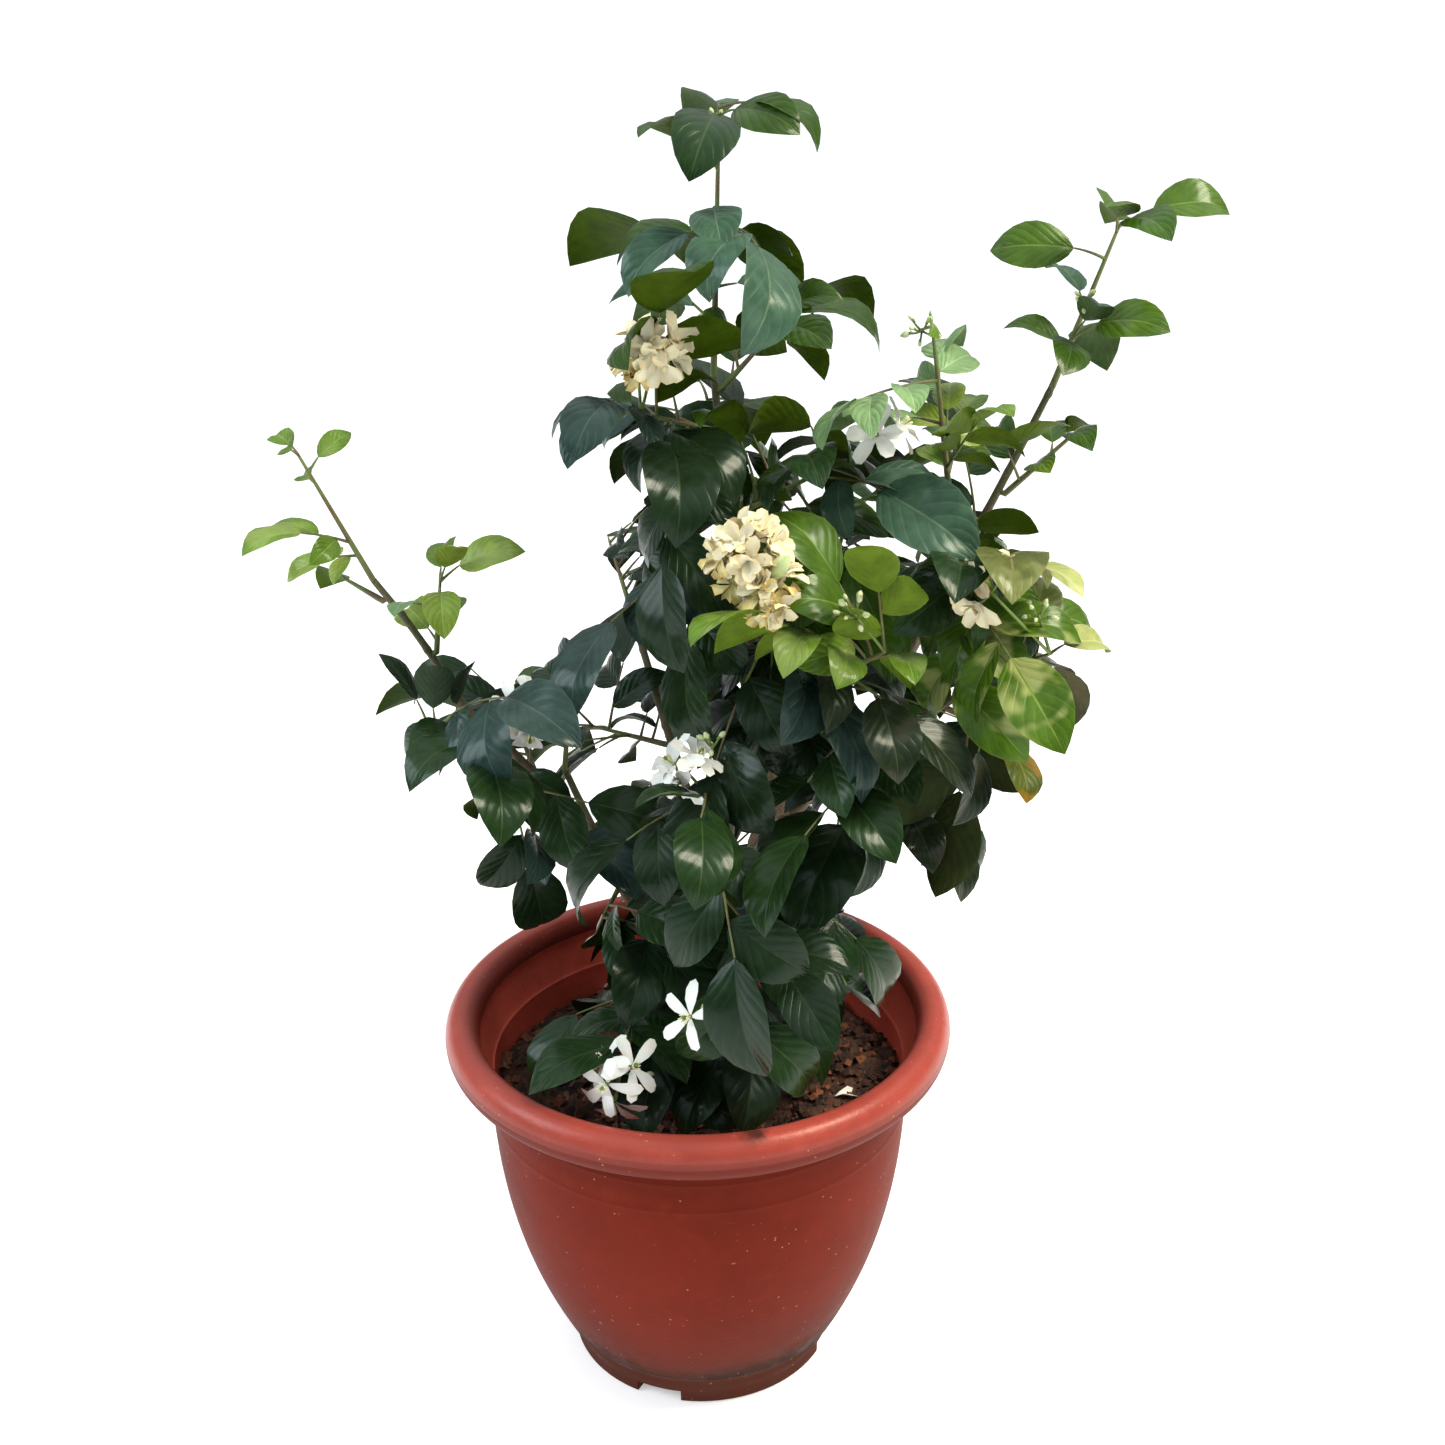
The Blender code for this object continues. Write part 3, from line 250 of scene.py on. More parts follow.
# A mass grows from a share of its bough along its own stem. A seed settles each compound leaf, 0 leaves a
# place bare; fine seeds are the smaller ones between. mix names the tints that its sprays are dealt, and
# tints lists the sprays that wear a certain one, fine ones from 100 on. lost leaves a leaflet out of a spray.
masses = {
    "crown_tip_leaves": Mass("leader_bough", 1.0, 50, 87, 0.132, 0.071, "open",
        (527, 339, 683, 835, 161, 569, 215, 800, 0), (567, 848, 268, 1844, 2370), droop=40,
        leaflets=(1, 1, 3), places=(0.5, 0.53, 0.55, 0.57, 0.96, 0.97, 0.98, 1.0, 1.0),
        tints=dict(forest=[1, 5, 7, 102, 104], blue=[2, 3, 100, 101, 103], dark=[4])),
    "upper_left_leaves": Mass("leader_bough", 0.88, 190, 16, 0.040, 0.060, "shaded", (53, 191, 531, 487),
        (3066, 0, 2557, 2033, 1201, 3309), tints=dict(forest=[2], slate=[3, 104, 105])),
    "upper_right_leaves": Mass("leader_bough", 0.97, 340, 48, 0.042, 0.062, "green", (708, 566, 656, 169),
        (1169, 281, 0, 0, 0, 1895), first=0.7),
    "upper_back_leaves": Mass("leader_bough", 0.8, 100, 30, 0.050, 0.060, "green", (847, 617, 710),
        (1652, 2941, 1003, 283, 2692, 1160)),
    "middle_right_leaves": Mass("leader_bough", 0.68, 5, 26, 0.066, 0.060, "inner", (661, 76, 184, 13, 457),
        (420, 2290, 0, 339, 1278), tints=dict(dark=[0], mid=[1, 100, 104], blue=[2, 3])),
    "middle_left_leaves": Mass("leader_bough", 0.55, 188, 12, 0.044, 0.060, "cool", (889, 895, 219, 0),
        (931, 2136, 0, 3048)),
    "middle_front_leaves": Mass("leader_bough", 0.42, 285, 15, 0.050, 0.055, "shaded", (596, 722, 210, 328),
        (1995, 1415, 0, 0, 2713),
        tints=dict(dark=[0, 100, 104], slate=[1], deep=[2], bronze=[3], mid=[101])),
    "middle_back_leaves": Mass("leader_bough", 0.35, 80, 24, 0.060, 0.060, "inner", (650, 348, 542, 765),
        (560, 2864, 3320, 1949, 571, 376)),
    "left_tip_leaves": Mass("left_tip_bough", 1.0, 177, 64, 0.078, 0.036, "bright", (881, 0, 0, 0, 49, 280),
        (693, 0, 0, 0, 235, 292), first=0.3, droop=20, leaflets=(1, 3)),
    "left_side_leaves": Mass("left_tip_bough", 0.4, 40, 82, 0.040, 0.048, "new", (354, 211, 95, 404),
        (3129, 0, 0, 234, 0, 1370), leaflets=(1, 3), places=(0.15, 0.9, 1.0, 1.0)),
    "left_outer_leaves": Mass("left_tip_bough", 0.86, 170, 30, 0.040, 0.048, "light", (712, 0, 0, 0),
        first=0.6),
    "left_joint_leaves": Mass("left_bough", 0.97, 215, 6, 0.026, 0.056, "shaded", (664, 231, 558, 633),
        (0, 2640, 709), first=0.5, tints=dict(dark=[0, 3, 102], slate=[1, 2, 101])),
    "left_middle_leaves": Mass("left_bough", 0.8, 255, -8, 0.028, 0.056, "shaded", (731, 33, 292, 0),
        (0, 3263, 2809), first=0.5, tints=dict(dark=[101])),
    "left_back_leaves": Mass("left_bough", 0.74, 110, 24, 0.040, 0.056, "inner", (786, 628, 397),
        (2646, 1968, 2592, 1634, 746, 999), first=0.5),
    "left_rising_leaves": Mass("left_rising_bough", 1.0, 80, 66, 0.036, 0.048, "cool", (516, 0, 0, 384),
        (1834, 0, 0, 0, 1558, 1503)),
    "left_low_leaves": Mass("left_bough", 0.56, 225, -18, 0.030, 0.058, "cool", (543, 0, 0, 0), (1561, 2052),
        first=0.5),
    "left_foot_leaves": Mass("left_bough", 0.34, 250, -14, 0.030, 0.056, "shaded", (755, 362, 363, 0),
        (0, 0, 0, 3181, 2118), first=0.5),
    "right_tip_leaves": Mass("right_tall_bough", 1.0, 5, 70, 0.088, 0.056, "tip",
        (739, 430, 4, 241, 316, 0, 102, 877, 75), (3101, 0, 1976, 0, 0, 3323), leaflets=(1, 1, 3),
        places=(0.26, 0.29, 0.32, 0.35, 0.8, 0.95, 0.97, 1.0, 1.0)),
    "right_twig_leaves": Mass("right_tall_bough", 0.66, 2, 42, 0.055, 0.052, "light", (631, 486, 0),
        (203, 1737, 0, 0, 0, 1573), first=0.6, leaflets=(1, 1, 3)),
    "right_back_leaves": Mass("right_tall_bough", 0.42, 60, 24, 0.046, 0.058, "inner", (789, 103, 580, 484),
        (1680, 3312, 1913, 3468, 3469, 2728)),
    "shoot_tip_leaves": Mass("shoot_bough", 1.0, 188, 82, 0.100, 0.038, "shoot",
        (839, 625, 98, 0, 672, 770, 0, 0, 0), (3360, 0, 1108, 0, 0, 61), first=0.25, droop=22,
        leaflets=(3, 5)),
    "shoot_low_leaves": Mass("shoot_bough", 0.7, 310, 22, 0.034, 0.055, "inner", (687, 770, 614, 721),
        (2114, 2458, 1787, 0, 2951),
        tints=dict(glade=[0, 1], dark=[2, 101, 102], olive=[3], mid=[100], sunlit=[104])),
    "right_middle_leaves": Mass("right_front_bough", 1.0, 330, 28, 0.044, 0.058, "sunny",
        (593, 0, 540, 238, 0), (1617, 0, 2123), tints=dict(sunlit=[0, 3], dusty=[2, 102], glade=[100])),
    "right_low_leaves": Mass("right_front_bough", 0.66, 345, -22, 0.040, 0.062, "low", (189, 460, 433, 0, 0),
        tints=dict(bronze=[0, 1], amber=[2])),
    "right_foot_leaves": Mass("right_bough", 0.45, 335, -34, 0.046, 0.066, "low", (582, 0, 634, 105),
        (1666, 1884, 0, 0, 0, 2301), tints=dict(mid=[100])),
    "centre_right_leaves": Mass("right_front_bough", 0.3, 280, -4, 0.034, 0.058, "shaded", (117, 0, 0, 0)),
    "front_top_leaves": Mass("front_right_bough", 1.0, 300, 32, 0.034, 0.046, "whorl",
        (335, 55, 547, 0, 396), (0, 0, 1962)),
    "front_low_leaves": Mass("front_right_bough", 0.55, 300, -14, 0.030, 0.058, "shaded", (869, 0, 36),
        (0, 3347)),
    "front_middle_leaves": Mass("front_bough", 1.0, 240, 24, 0.028, 0.055, "shaded", (0, 172, 851, 0),
        (0, 0, 0, 0, 0, 2693), tints=dict(deep=[1, 2], dark=[105])),
    "front_left_leaves": Mass("front_bough", 0.6, 215, 0, 0.034, 0.058, "shaded", (588, 0, 0), (847,),
        tints=dict(deep=[0])),
    "front_right_leaves": Mass("front_bough", 0.62, 322, -4, 0.038, 0.060, "shaded", (442, 0, 0, 638),
        (0, 0, 0, 0, 0, 3295)),
    "back_left_leaves": Mass("back_left_bough", 1.0, 110, 40, 0.056, 0.060, "inner",
        (416, 274, 645, 303, 760), (966, 2941, 3495, 2243, 3301, 320)),
    "back_left_low_leaves": Mass("back_left_bough", 0.55, 165, 10, 0.046, 0.060, "inner",
        (410, 495, 450, 898), (1281, 2941, 1759, 3139, 2503, 3078)),
    "back_right_leaves": Mass("back_right_bough", 1.0, 70, 38, 0.056, 0.060, "inner",
        (454, 847, 386, 817, 240), (119, 841, 268, 1977, 2321, 1027)),
    "back_right_low_leaves": Mass("back_right_bough", 0.55, 20, 10, 0.046, 0.060, "inner",
        (785, 776, 395, 414), (168, 2458, 3110, 444, 3441, 726)),
    "back_low_leaves": Mass("trunk", 0.53, 95, 12, 0.048, 0.060, "shaded", (759, 348, 792, 773),
        (1225, 2458, 2823, 2082, 1047, 2763)),
    "foot_left_leaves": Mass("trunk", 0.27, 215, 24, 0.036, 0.060, "shaded", (851, 606, 0, 0, 533),
        (581, 3200), first=0.5, droop=22, lost={1: 4}),
    "foot_right_leaves": Mass("trunk", 0.36, 330, 34, 0.040, 0.066, "shaded", (514, 0, 0, 0, 824), (0, 155),
        first=0.5, droop=22, lost={4: 2}),
    "foot_front_leaves": Mass("trunk", 0.2, 280, 30, 0.034, 0.056, "shaded", (553, 0, 251, 0),
        (0, 0, 0, 0, 0, 341), first=0.5, droop=22),
}
# parts of the crown by the first word of a mass
partOf = dict(crown="crown", upper="crown", middle="crown", left="left", right="right", shoot="right",
              centre="front", front="front", back="back", foot="foot")


def regionOf(name):
    return partOf[name.split("_")[0]]


# A vector over its length.
def unit(v):
    return v / np.linalg.norm(v)


# The unit vector whose level part points to the azimuth and which climbs by the rise.
def heading(azimuth, rise):
    a, r = math.radians(azimuth), math.radians(rise)
    return np.array((math.cos(a) * math.cos(r), math.sin(a) * math.cos(r), math.sin(r)))


# A vector turned about a unit axis: its part across the axis turns and its part along it stays.
def turned(v, axis, degrees):
    a = math.radians(degrees)
    return v * math.cos(a) + np.cross(axis, v) * math.sin(a) + axis * np.dot(axis, v) * (1 - math.cos(a))


# Two unit vectors square to a heading: one level, one as upright as it can be.
def across(along):
    side = np.cross(along, upward)
    if np.linalg.norm(side) < 0.15:        # the heading is nearly upright
        side = np.cross(along, np.array((0.3, 1.0, 0.0)))
    side = unit(side)
    return side, np.cross(side, along)


# The unit vector at an angle between two that are square to each other.
def around(side, top, angle):
    return side * math.cos(angle) + top * math.sin(angle)


# A limb's rise grows by lift and its azimuth by sweep, in equal steps.
def sweptPath(start, limb):
    path, steps = [start], limb.points - 1
    for i in range(steps):
        share = (i + 0.5) / steps
        step = heading(limb.azimuth + limb.sweep * share, limb.rise + limb.lift * share)
        path.append(path[-1] + step * (limb.length / steps))
    return np.array(path)


# The point at a share of an arc that bends away from its normal, and the normal there.
def arcAt(base, along, normal, length, bend, share):
    angle = bend * share
    point = base + along * (length * np.sin(angle) / bend) - normal * (length * (1 - np.cos(angle)) / bend)
    return point, normal * np.cos(angle) + along * np.sin(angle)


# Such an arc in equal steps, bent by droop degrees in all.
def arcPath(start, along, normal, length, droop, steps):
    bend = math.radians(max(abs(droop), leastBend))
    return arcAt(start, along, normal, length, bend, np.arange(steps + 1)[:, None] / steps)[0]


# The point at a share of a path's length, and the heading there.
def alongPath(path, share):
    steps = np.linalg.norm(np.diff(path, axis=0), axis=1)
    run = np.concatenate(([0.0], np.cumsum(steps)))
    far = share * run[-1]
    i = min(int(np.searchsorted(run, far, side="right")) - 1, len(steps) - 1)
    return path[i] + (path[i + 1] - path[i]) * ((far - run[i]) / steps[i]), unit(path[i + 1] - path[i])


# Where a limb starts: the corners of its end face stand a small gap clear of its parent's skin.
def seatOn(path, base, tip, share, way, radius, sides):
    at, tangent = alongPath(path, share)
    out, surface = tangent, 0.0
    if share < 1.0:
        out = unit(way - tangent * np.dot(way, tangent))
        surface = base + (tip - base) * share
    side, top = across(way)
    corners = [radius * around(side, top, circle * k / sides) for k in range(sides)]
    return at + out * (surface + growth["gap"] + max(-np.dot(corner, out) for corner in corners))


# The trunk stands on the soil on a short upright foot, and each bough starts on its parent.
def limbPaths():
    found = {}
    for name, limb in limbs.items():
        if limb.parent is None:
            start = np.array((*growth["foot"], growth["soil"] + growth["gap"]))
            found[name] = np.vstack((start, sweptPath(start + upward * limb.base, limb)))
            continue
        parent, way = limbs[limb.parent], heading(limb.azimuth, limb.rise)
        found[name] = sweptPath(seatOn(found[limb.parent], parent.base, parent.tip, limb.share, way,
                                       limb.base, growth["limbSides"]), limb)
    return found


# A mass's own stem runs straight from its seat.
def massStem(mass):
    bough, way = limbs[mass.bough], heading(mass.azimuth, mass.rise)
    start = seatOn(paths[mass.bough], bough.base, bough.tip, mass.share, way,
                   growth["stemRadius"], growth["stemSides"])
    return arcPath(start, way, across(way)[1], mass.length, 0, 1)


# How far up its stem a compound leaf grows: its own place, or even steps from the first one.
def sprayShare(mass, i):
    if mass.places:
        return mass.places[i]
    return mass.first + (1.0 - mass.first) * i / max(1, len(mass.seeds) - 1)


# A compound leaf: its twig leans out of the stem, and leaflets alternate along it with one at the end.
def growSpray(mass, stem, i, seed):
    rng = random.Random(seed)

    # a value between the two of its kind
    def draw(key):
        return rng.uniform(*drawn[key])

    share = sprayShare(mass, i)
    start, tangent = alongPath(stem, share)
    out = turned(across(tangent)[1], tangent, draw("turn"))
    lean = math.radians(draw("tipLean" if share > growth["tipFrom"] else "lean"))
    way = unit(around(tangent, out, lean))
    count = rng.choice(mass.leaflets)
    size = mass.leaf * draw("size")
    droop = mass.droop * draw("droop")
    normal = turned(across(way)[1], way, draw("roll"))
    petiole = size * draw("petiole")
    step = size * draw("step")
    length = petiole + step * (count - 1)
    twig = arcPath(start, way, normal, length, droop * growth["twigBend"], 2)
    hand = rng.choice((-1, 1))
    leaves = []
    for k in range(count):
        base, tangent = alongPath(twig, (petiole + step * k) / length)
        spread = draw("endSpread") if k == count - 1 else hand * draw("spread")
        hand = -hand
        leafWay = unit(turned(tangent, normal, spread) - growth["sag"] * upward)
        leafNormal = turned(normal, tangent, draw("tilt"))
        leafNormal = unit(leafNormal - leafWay * np.dot(leafNormal, leafWay))
        grown = growth["smallest"] + (1 - growth["smallest"]) * k / max(1, count - 1)
        leafLength = size * grown * draw("length")
        leaves.append(Leaf(base, leafWay, leafNormal, leafLength, leafLength * draw("width"),
                           droop * draw("bend"), draw("fold")))
    return arcPath(start, way, normal, length, droop * growth["twigBend"], 6), leaves


# Six corners of a leaflet: shares along its arched midrib, and out to either side, raised by the fold.
def leafEdge(leaf):
    u, v = np.array(growth["edge"])[:, :, None]
    bend, fold, half = math.radians(max(leaf.droop, leastBend)), math.radians(leaf.fold), leaf.width / 2
    point, lift = arcAt(leaf.base, leaf.along, leaf.normal, leaf.length, bend, u)
    side = np.cross(leaf.along, leaf.normal)
    return point + side * (v * half * math.cos(fold)) + lift * (np.abs(v) * half * math.sin(fold))


# Whether the frame's solid has this leaflet: one of its corners is a corner of the mesh.
def inFrame(leaf, corners):
    sunk = leaf._replace(base=leaf.base - leaf.along * growth["leafSink"])
    return any(np.abs(corners - p).max(axis=1).min() < growth["match"] for p in leafEdge(sunk)[1:])


# A compound leaf's twig ends at the last leaflet that it keeps, with as many points as before.
def cutTwig(twig, leaves):
    far = max(np.linalg.norm(leaf.base - twig[0]) for leaf in leaves) / np.linalg.norm(twig[-1] - twig[0])
    t = np.linspace(0, min(far, 1.0) * (len(twig) - 1), len(twig))
    return np.stack([np.interp(t, np.arange(len(twig)), twig[:, k]) for k in range(3)], -1)


# Points and faces of a node of the frame.
def meshArrays(node):
    mesh = frame["nodes"][node].data
    corners = np.empty(len(mesh.vertices) * 3, np.float32)
    mesh.vertices.foreach_get("co", corners)
    return corners.reshape(-1, 3).astype(float), [tuple(face.vertices) for face in mesh.polygons]


# A search tree that tells whether two surfaces cross.
def treeOf(points, faces):
    return BVHTree.FromPolygons([Vector(p) for p in points], faces)


# Every mass's leaves that the frame holds, then finer sprays: a finer leaf is kept where its outline stays
# within the mass's reach and crosses no other leaf, limb, pot or soil.
def growCrown():
    fixed = [treeOf(*meshArrays(node)) for node in ["pot", "soil", *limbs]]
    fan = [(0, k, k + 1) for k in range(1, 5)]
    sprays, trees, lows, highs = [], [], [], []

    # grows a spray, keeps the leaflets that fit and remembers how far up the stem it stands
    def settle(name, mass, i, number, seed, fits):
        twig, leaves = growSpray(mass, stems[name], i, seed)
        kept = []
        for k, leaf in enumerate(leaves):
            edge = leafEdge(leaf)
            tree = treeOf(edge, fan)
            if fits(k, leaf, edge, tree):
                trees.append(tree)
                lows.append(edge.min(axis=0))
                highs.append(edge.max(axis=0))
                kept.append(leaf)
        if kept:
            sprays.append(Spray(name, number, seed, cutTwig(twig, kept), kept))
            reach[name] = max(reach[name], sprayShare(mass, i))

    for name, mass in masses.items():
        corners = meshArrays(name)[0]
        for i, seed in enumerate(mass.seeds):
            if seed:
                settle(name, mass, i, i, seed,
                       lambda k, leaf, edge, tree: inFrame(leaf, corners) and k != mass.lost.get(i))
    held, first, count = len(trees), growth["fineFirst"], growth["finePlaces"]
    places = [first + (1 - first) * (i + 0.5) / count for i in range(count - 1)] + [1.0]

    # whether a finer leaflet is within reach and clear of everything there
    def roomy(k, leaf, edge, tree):
        if (edge < low).any() or (edge > high).any() or any(tree.overlap(other) for other in fixed):
            return False
        near = (np.array(lows) < edge.max(axis=0)) & (np.array(highs) > edge.min(axis=0))
        return not any(tree.overlap(trees[other]) for other in np.nonzero(near.all(axis=1))[0])

    for name, mass in masses.items():
        low, high = (np.array(corner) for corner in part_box(name))
        low, high = low - growth["fineReach"], high + growth["fineReach"]
        finer = mass._replace(leaf=mass.leaf * growth["fineLeaf"], places=places)
        for i, seed in enumerate(mass.fine):
            if seed:
                settle(name, finer, i, 100 + i, seed, roomy)
    print(f"crown: {held} leaflets of the frame and {len(trees) - held} finer ones in {len(sprays)} sprays")
    return sprays


paths = limbPaths()
stems = {name: massStem(mass) for name, mass in masses.items()}
reach = {name: 0.25 for name in masses}        # how far up its stem each mass bears leaves
sprays = growCrown()


# A leaflet as a function of u along it and v across it: its midrib is an arc bent by the droop, its half
# width follows the outline, each half rises by the fold and swells between midrib and margin, and the margin
# waves. Past its middle the midrib curls down as a square. The underside is the same sheet lowered by the
# thickness, and both meet along the edge.
def leafSurface(leaves, look, seed):
    rng = np.random.default_rng(seed)
    count, rows = len(leaves), len(look["along"])
    columns, beneath = len(look["across"]), len(look["under"])
    base, along, normal, length, width, droop, fold = (np.array(values, float).reshape(count, 1, 1, -1)
                                                       for values in zip(*leaves))
    half = width * look["broader"] / 2
    bend, fold = np.radians(np.maximum(droop, leastBend)), np.radians(fold)
    side = np.cross(along, normal)
    phase = rng.uniform(0, circle, bend.shape)
    curl = look["curl"] * rng.uniform(0.4, 1.5, bend.shape)

    # points along every leaflet at lines across it, lowered by drop
    def sheet(lines, drop):
        u, full = (np.array(look[key])[:, None, None] for key in ("along", "width"))
        v = np.array(lines)[:, None]
        rib, lift = arcAt(base, along, normal, length, bend, u)
        rib = rib - lift * (length * curl * np.clip((u - 0.5) / 0.5, 0, 1) ** 2)
        rise = np.abs(v) * full * half * np.sin(fold)
        rise = rise + look["swell"] * half * full * 4 * np.abs(v) * (1 - np.abs(v))
        rise = rise + look["wave"] * half * np.sin(9 * u + phase) * v ** 3 * np.sin(math.pi * u)
        return rib + side * (v * full * half * np.cos(fold)) + lift * (rise - drop)

    top, under = sheet(look["across"], 0.0), sheet(look["under"], look["thick"])
    points = np.concatenate((top[:, 0, :1], top[:, 1:-1].reshape(count, -1, 3), top[:, -1, :1],
                             under[:, 1:-1, 1:-1].reshape(count, -1, 3)), axis=1)
    # numbers of the upper points, and of the lower ones, which share the edge with them
    tip = 1 + (rows - 2) * columns
    upper = np.zeros((rows, columns), int)
    upper[1:-1] = np.arange(1, tip).reshape(-1, columns)
    upper[-1] = tip
    lower = upper[:, [0] * (beneath - 1) + [-1]]
    lower[1:-1, 1:-1] = tip + 1 + np.arange((rows - 2) * (beneath - 2)).reshape(-1, beneath - 2)
    quads = np.concatenate((facesOf(upper[:-1, :-1], upper[:-1, 1:], upper[1:, 1:], upper[1:, :-1]),
                            facesOf(lower[:-1, :-1], lower[1:, :-1], lower[1:, 1:], lower[:-1, 1:])))
    strips = np.concatenate((np.tile(np.arange(columns - 1), rows - 1),
                             np.full((rows - 1) * (beneath - 1), -1)))        # -1 underneath
    pointed = np.array([len(set(quad)) == 3 for quad in quads.tolist()])
    threes = np.array([list(dict.fromkeys(quad)) for quad in quads[pointed].tolist()])

    # the uv of the rows between base and tip
    def chart(lines):
        u, v = np.meshgrid(look["along"][1:-1], lines, indexing="ij")
        return np.stack((u, v / 2 + 0.5), -1).reshape(-1, 2)

    uv = np.concatenate(([(0, 0.5)], chart(look["across"]), [(1, 0.5)], chart(look["under"][1:-1])))
    start = (np.arange(count) * points.shape[1])[:, None, None]
    faces = [(start + group).reshape(-1, group.shape[1]) for group in (threes, quads[~pointed])]
    return points, faces, [strips[pointed], strips[~pointed]], np.broadcast_to(uv, (count, *uv.shape))


# A profile carried along each path: rings of radius r square to it, closed by a point at either end. The uv
# holds the share of a turn and the length run.
def tubeSurface(path, radius, sides):
    path, radius = np.asarray(path, float), np.asarray(radius, float)
    count, rows = path.shape[:2]
    tangent = np.gradient(path, axis=1)
    tangent /= np.linalg.norm(tangent, axis=2, keepdims=True)
    leaning = np.abs(tangent.mean(axis=1)[:, None, 2:]) < 0.8        # an upright path has no level side
    side = np.cross(tangent, np.where(leaning, upward, np.array((1.0, 0.2, 0.0))))
    side /= np.linalg.norm(side, axis=2, keepdims=True)
    top = np.cross(tangent, side)
    k, ringStart = np.arange(sides), 1 + (np.arange(rows - 1) * sides)[:, None]
    a = (circle * k / sides)[:, None]
    ring = side[:, :, None] * np.cos(a) + top[:, :, None] * np.sin(a)
    radius = np.broadcast_to(radius if radius.ndim == 3 else radius[..., None], (count, rows, sides))
    rings = path[:, :, None] + ring * radius[..., None]
    points = np.concatenate((path[:, :1], rings.reshape(count, -1, 3), path[:, -1:]), axis=1)
    after, last = (k + 1) % sides, 1 + (rows - 1) * sides
    quads = facesOf(ringStart + k, ringStart + after, ringStart + after + sides, ringStart + k + sides)
    ends = np.concatenate((facesOf(0, 1 + after, 1 + k), facesOf(last + sides, last + k, last + after)))
    run = np.cumsum(np.linalg.norm(np.diff(path, axis=1, prepend=path[:, :1]), axis=2), axis=1)
    uv = np.zeros((count, points.shape[1], 2))
    uv[:, 1:-1, 0] = np.tile(k / sides, rows)
    uv[:, 1:-1, 1] = np.repeat(run, sides, axis=1)
    uv[:, -1, 1] = run[:, -1]
    start = (np.arange(count) * points.shape[1])[:, None, None]
    return points, [(start + part).reshape(-1, part.shape[1]) for part in (quads, ends)], uv


# A curve through all its points, each span a cubic that leaves a point level with its neighbours.
def smoothPath(points, perSpan):
    ends = np.vstack((2 * points[0] - points[1], points, 2 * points[-1] - points[-2]))
    t = (np.arange(perSpan) / perSpan)[None, :, None]
    a, b, c, d = (ends[k:len(ends) - 3 + k][:, None] for k in range(4))
    bends = (2 * a - 5 * b + 4 * c - d) * t ** 2 + (3 * b - a - 3 * c + d) * t ** 3
    return np.vstack(((0.5 * (2 * b + (c - a) * t + bends)).reshape(-1, 3), points[-1]))


# Bark: trunk and boughs in one piece.
barkLook = dict(perSpan=12, trunkSides=36, boughSides=16, flare=0.0032, flareShare=0.045, flute=0.16,
                flutes=3, fluteShare=0.10, ridge=0.045, ridges=(5, 8, 13), wander=1.6, grain=0.03, knot=0.10,
                eye=0.22, eyeTurn=2.4, knotEvery=0.024, knotLength=0.0016, collar=0.30, collarLength=0.006,
                sunk=0.006, thin=0.0018, ridgedBy=0.006, agedBy=0.0052,
                young=(0.085, 0.105, 0.030), brown=(0.150, 0.094, 0.048), old=(0.330, 0.240, 0.150),
                dark=(0.060, 0.036, 0.020), youngTo=(0.02, 0.30), oldFrom=(0.28, 0.75), patchScale=70,
                streakScale=6.0, grainScale=650)


# A limb is a tapering tube: its radius falls evenly to the tip, swells at its collar and at each node,
# carries lengthwise ridges that wander with height, and flares in three flutes at the trunk's foot.
def barkSurface(name, seed):
    rng = np.random.default_rng(seed)
    limb, look = limbs[name], barkLook
    fine = smoothPath(paths[name], look["perSpan"])
    share = np.linspace(0, 1, len(fine))
    radius = limb.base + (limb.tip - limb.base) * share
    sides = look["trunkSides"] if name == "trunk" else look["boughSides"]
    run = np.concatenate(([0], np.cumsum(np.linalg.norm(np.diff(fine, axis=0), axis=1))))
    angle = (circle * np.arange(sides) / sides)[None, :]
    thick = np.clip((radius - look["thin"]) / look["ridgedBy"], 0, 1)[:, None]
    relief = np.zeros((len(fine), sides))
    for waves in look["ridges"]:
        drift = rng.uniform(40, 120) * run + rng.uniform(0, 6)
        relief += look["ridge"] * thick * np.sin(waves * angle + np.sin(drift)[:, None] * look["wander"]) / 2
    relief += look["grain"] * thick * rng.standard_normal(relief.shape)
    knots = np.arange(look["knotEvery"] * rng.uniform(0.4, 0.9), run[-1] - 0.004, look["knotEvery"])
    for k, at in enumerate(knots):
        near = np.exp(-((run - at) / look["knotLength"]) ** 2)[:, None]
        eye = np.clip(np.cos(angle - look["eyeTurn"] * k), 0, 1) ** 3
        relief += near * (look["knot"] + look["eye"] * eye)
    if name == "trunk":
        fluted = np.exp(-share / look["fluteShare"])[:, None]
        relief += look["flute"] * fluted * np.cos(look["flutes"] * angle + 0.8)
        radius = (radius + look["flare"] * np.exp(-share / look["flareShare"]))[:, None]
        start = fine[0] - upward * look["sunk"]
    else:
        radius = (radius * (1 + look["collar"] * np.exp(-run / look["collarLength"])))[:, None]
        start = alongPath(paths[limb.parent], min(limb.share, growth["inside"]))[0]
    full = radius * (1 + relief)
    fine, full = np.vstack((start, fine)), np.vstack((full[:1], full))
    points, faces, uv = tubeSurface(fine[None], full[None], sides)
    age = np.clip((full.mean(axis=1) - look["thin"]) / look["agedBy"], 0, 1)
    return points, faces, uv, np.concatenate((age[:1], np.repeat(age, sides), age[-1:]))


